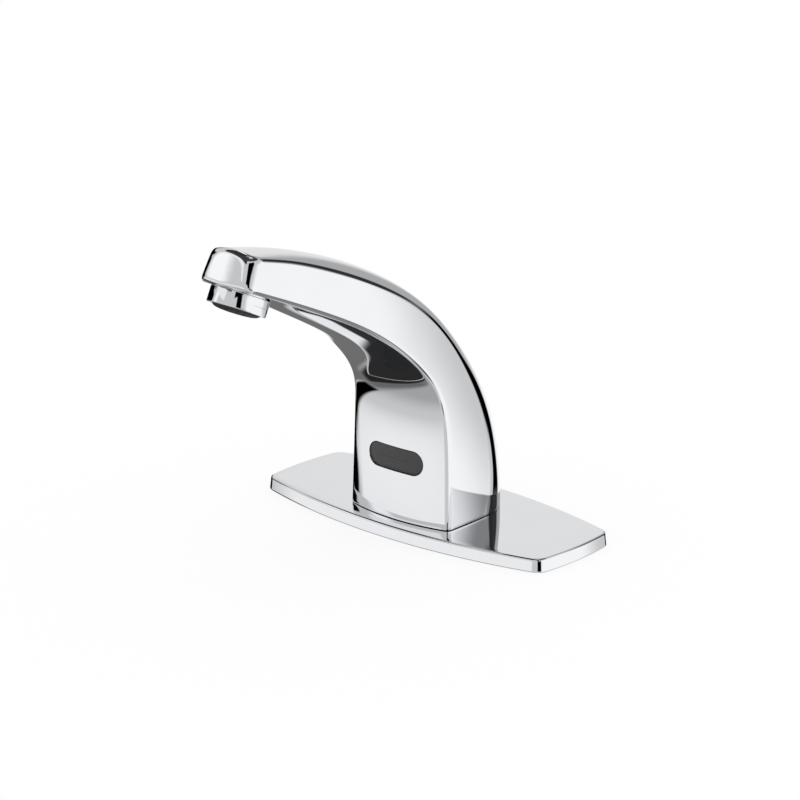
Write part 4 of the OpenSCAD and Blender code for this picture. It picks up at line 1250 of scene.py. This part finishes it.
@dataclass(frozen=True)
class Studio:
    """The floor and the clip, in metres, the light around the tap and the camera."""

    azimuth: float = 42.06
    elevation: float = 18.07
    distance: float = 1276.12
    aim_height: float = 60.0
    right: float = 14.70
    up: float = 7.22
    lens: float = 135.0
    sensor_width: float = 36.0
    clip: Pair = (0.05, 20.0)
    floor_size: float = 4.0
    floor_glow: float = 0.82
    open_level: float = 0.66

    def camera(self) -> None:
        """Sets the camera where the photograph was taken from."""
        a, e = math.radians(self.azimuth), math.radians(self.elevation)
        back = Vector((math.sin(a) * math.cos(e), -math.cos(a) * math.cos(e), math.sin(e)))
        side = Vector((math.cos(a), math.sin(a), 0.0))
        above = back.cross(side)
        place = Vector((0, 0, self.aim_height)) + back * self.distance
        place = place - side * self.right - above * self.up
        data = bpy.data.cameras.new("camera")
        data.lens, data.sensor_width = self.lens, self.sensor_width
        data.clip_start, data.clip_end = self.clip
        camera = bpy.data.objects.new("camera", data)
        turn = Matrix((side, above, back)).transposed()
        camera.matrix_world = Matrix.Translation(place * MM) @ turn.to_4x4()
        bpy.context.scene.collection.objects.link(camera)
        bpy.context.scene.camera = camera

    def floor(self) -> None:
        """Lays the plain pale floor."""
        bm = bmesh.new()
        bmesh.ops.create_grid(bm, x_segments=1, y_segments=1, size=self.floor_size / 2)
        made = bpy.data.materials.new("pale_floor")
        made.use_nodes = True
        tree = made.node_tree
        tree.nodes.clear()
        matt = add(tree, "ShaderNodeBsdfDiffuse", {"Color": linear("FFFFFF")})
        glow = add(tree, "ShaderNodeEmission", {"Color": WHITE, "Strength": 1.0})
        plain = matt.outputs[0]
        lit = add(tree, "ShaderNodeMixShader", {0: self.floor_glow, 1: plain, 2: glow.outputs[0]})
        by_camera = add(tree, "ShaderNodeLightPath").outputs["Is Camera Ray"]
        seen = add(tree, "ShaderNodeMixShader", {0: by_camera, 1: plain, 2: lit.outputs[0]})
        add(tree, "ShaderNodeOutputMaterial", {"Surface": seen.outputs[0]})
        floor = finished("floor", bm, made)
        floor.visible_glossy = False

    def world(self) -> None:
        """Surrounds the tap with soft light, with darker gaps between the lit panels."""
        world = bpy.data.worlds.new("studio")
        bpy.context.scene.world = world
        world.use_nodes = True
        tree = world.node_tree
        tree.nodes.clear()
        way = add(tree, "ShaderNodeTexCoord").outputs["Generated"]
        right, back, up = add(tree, "ShaderNodeSeparateXYZ", {0: way}).outputs
        front = maths(tree, "MULTIPLY", back, -1.0)
        azimuth = maths(tree, "DEGREES", maths(tree, "ARCTAN2", right, front))
        elevation = maths(tree, "DEGREES", maths(tree, "ARCSINE", up))
        level: Socket | float = self.open_level
        for panel in SURROUNDINGS:
            level = panel.laid_over(tree, azimuth, elevation, level)
        plain, mirrored = (
            add(tree, "ShaderNodeBackground", {"Color": WHITE, "Strength": strength}).outputs[0]
            for strength in (1.0, level)
        )
        by_glossy = add(tree, "ShaderNodeLightPath").outputs["Is Glossy Ray"]
        light = add(tree, "ShaderNodeMixShader", {0: by_glossy, 1: plain, 2: mirrored})
        add(tree, "ShaderNodeOutputWorld", {"Surface": light.outputs[0]})

    def build(self) -> None:
        """Builds the floor, the light and the camera."""
        bpy.context.scene.view_settings.view_transform = "Standard"
        self.camera()
        self.floor()
        self.world()


def main() -> None:
    """Builds the studio and every piece, and reports each one."""
    logging.basicConfig(level=logging.INFO, format="%(message)s")
    Studio().build()
    dress_cad_nodes()
    body = SpoutBody()
    face_y, bow_radius = body.front_at(SensorWindow.up)
    window = SensorWindow(face_y=face_y, bow_radius=bow_radius)
    made = [
        window.build(),
        CoverPlate().build(),
        *AeratorHousing().build(),
        JetInsert().build(),
        body.build(window),
        *(spring.build() for spring in SPRINGS),
    ]
    for piece in made:
        LOG.info("built %s with %d faces", piece.name, len(piece.data.polygons))


if __name__ == "__main__":
    main()
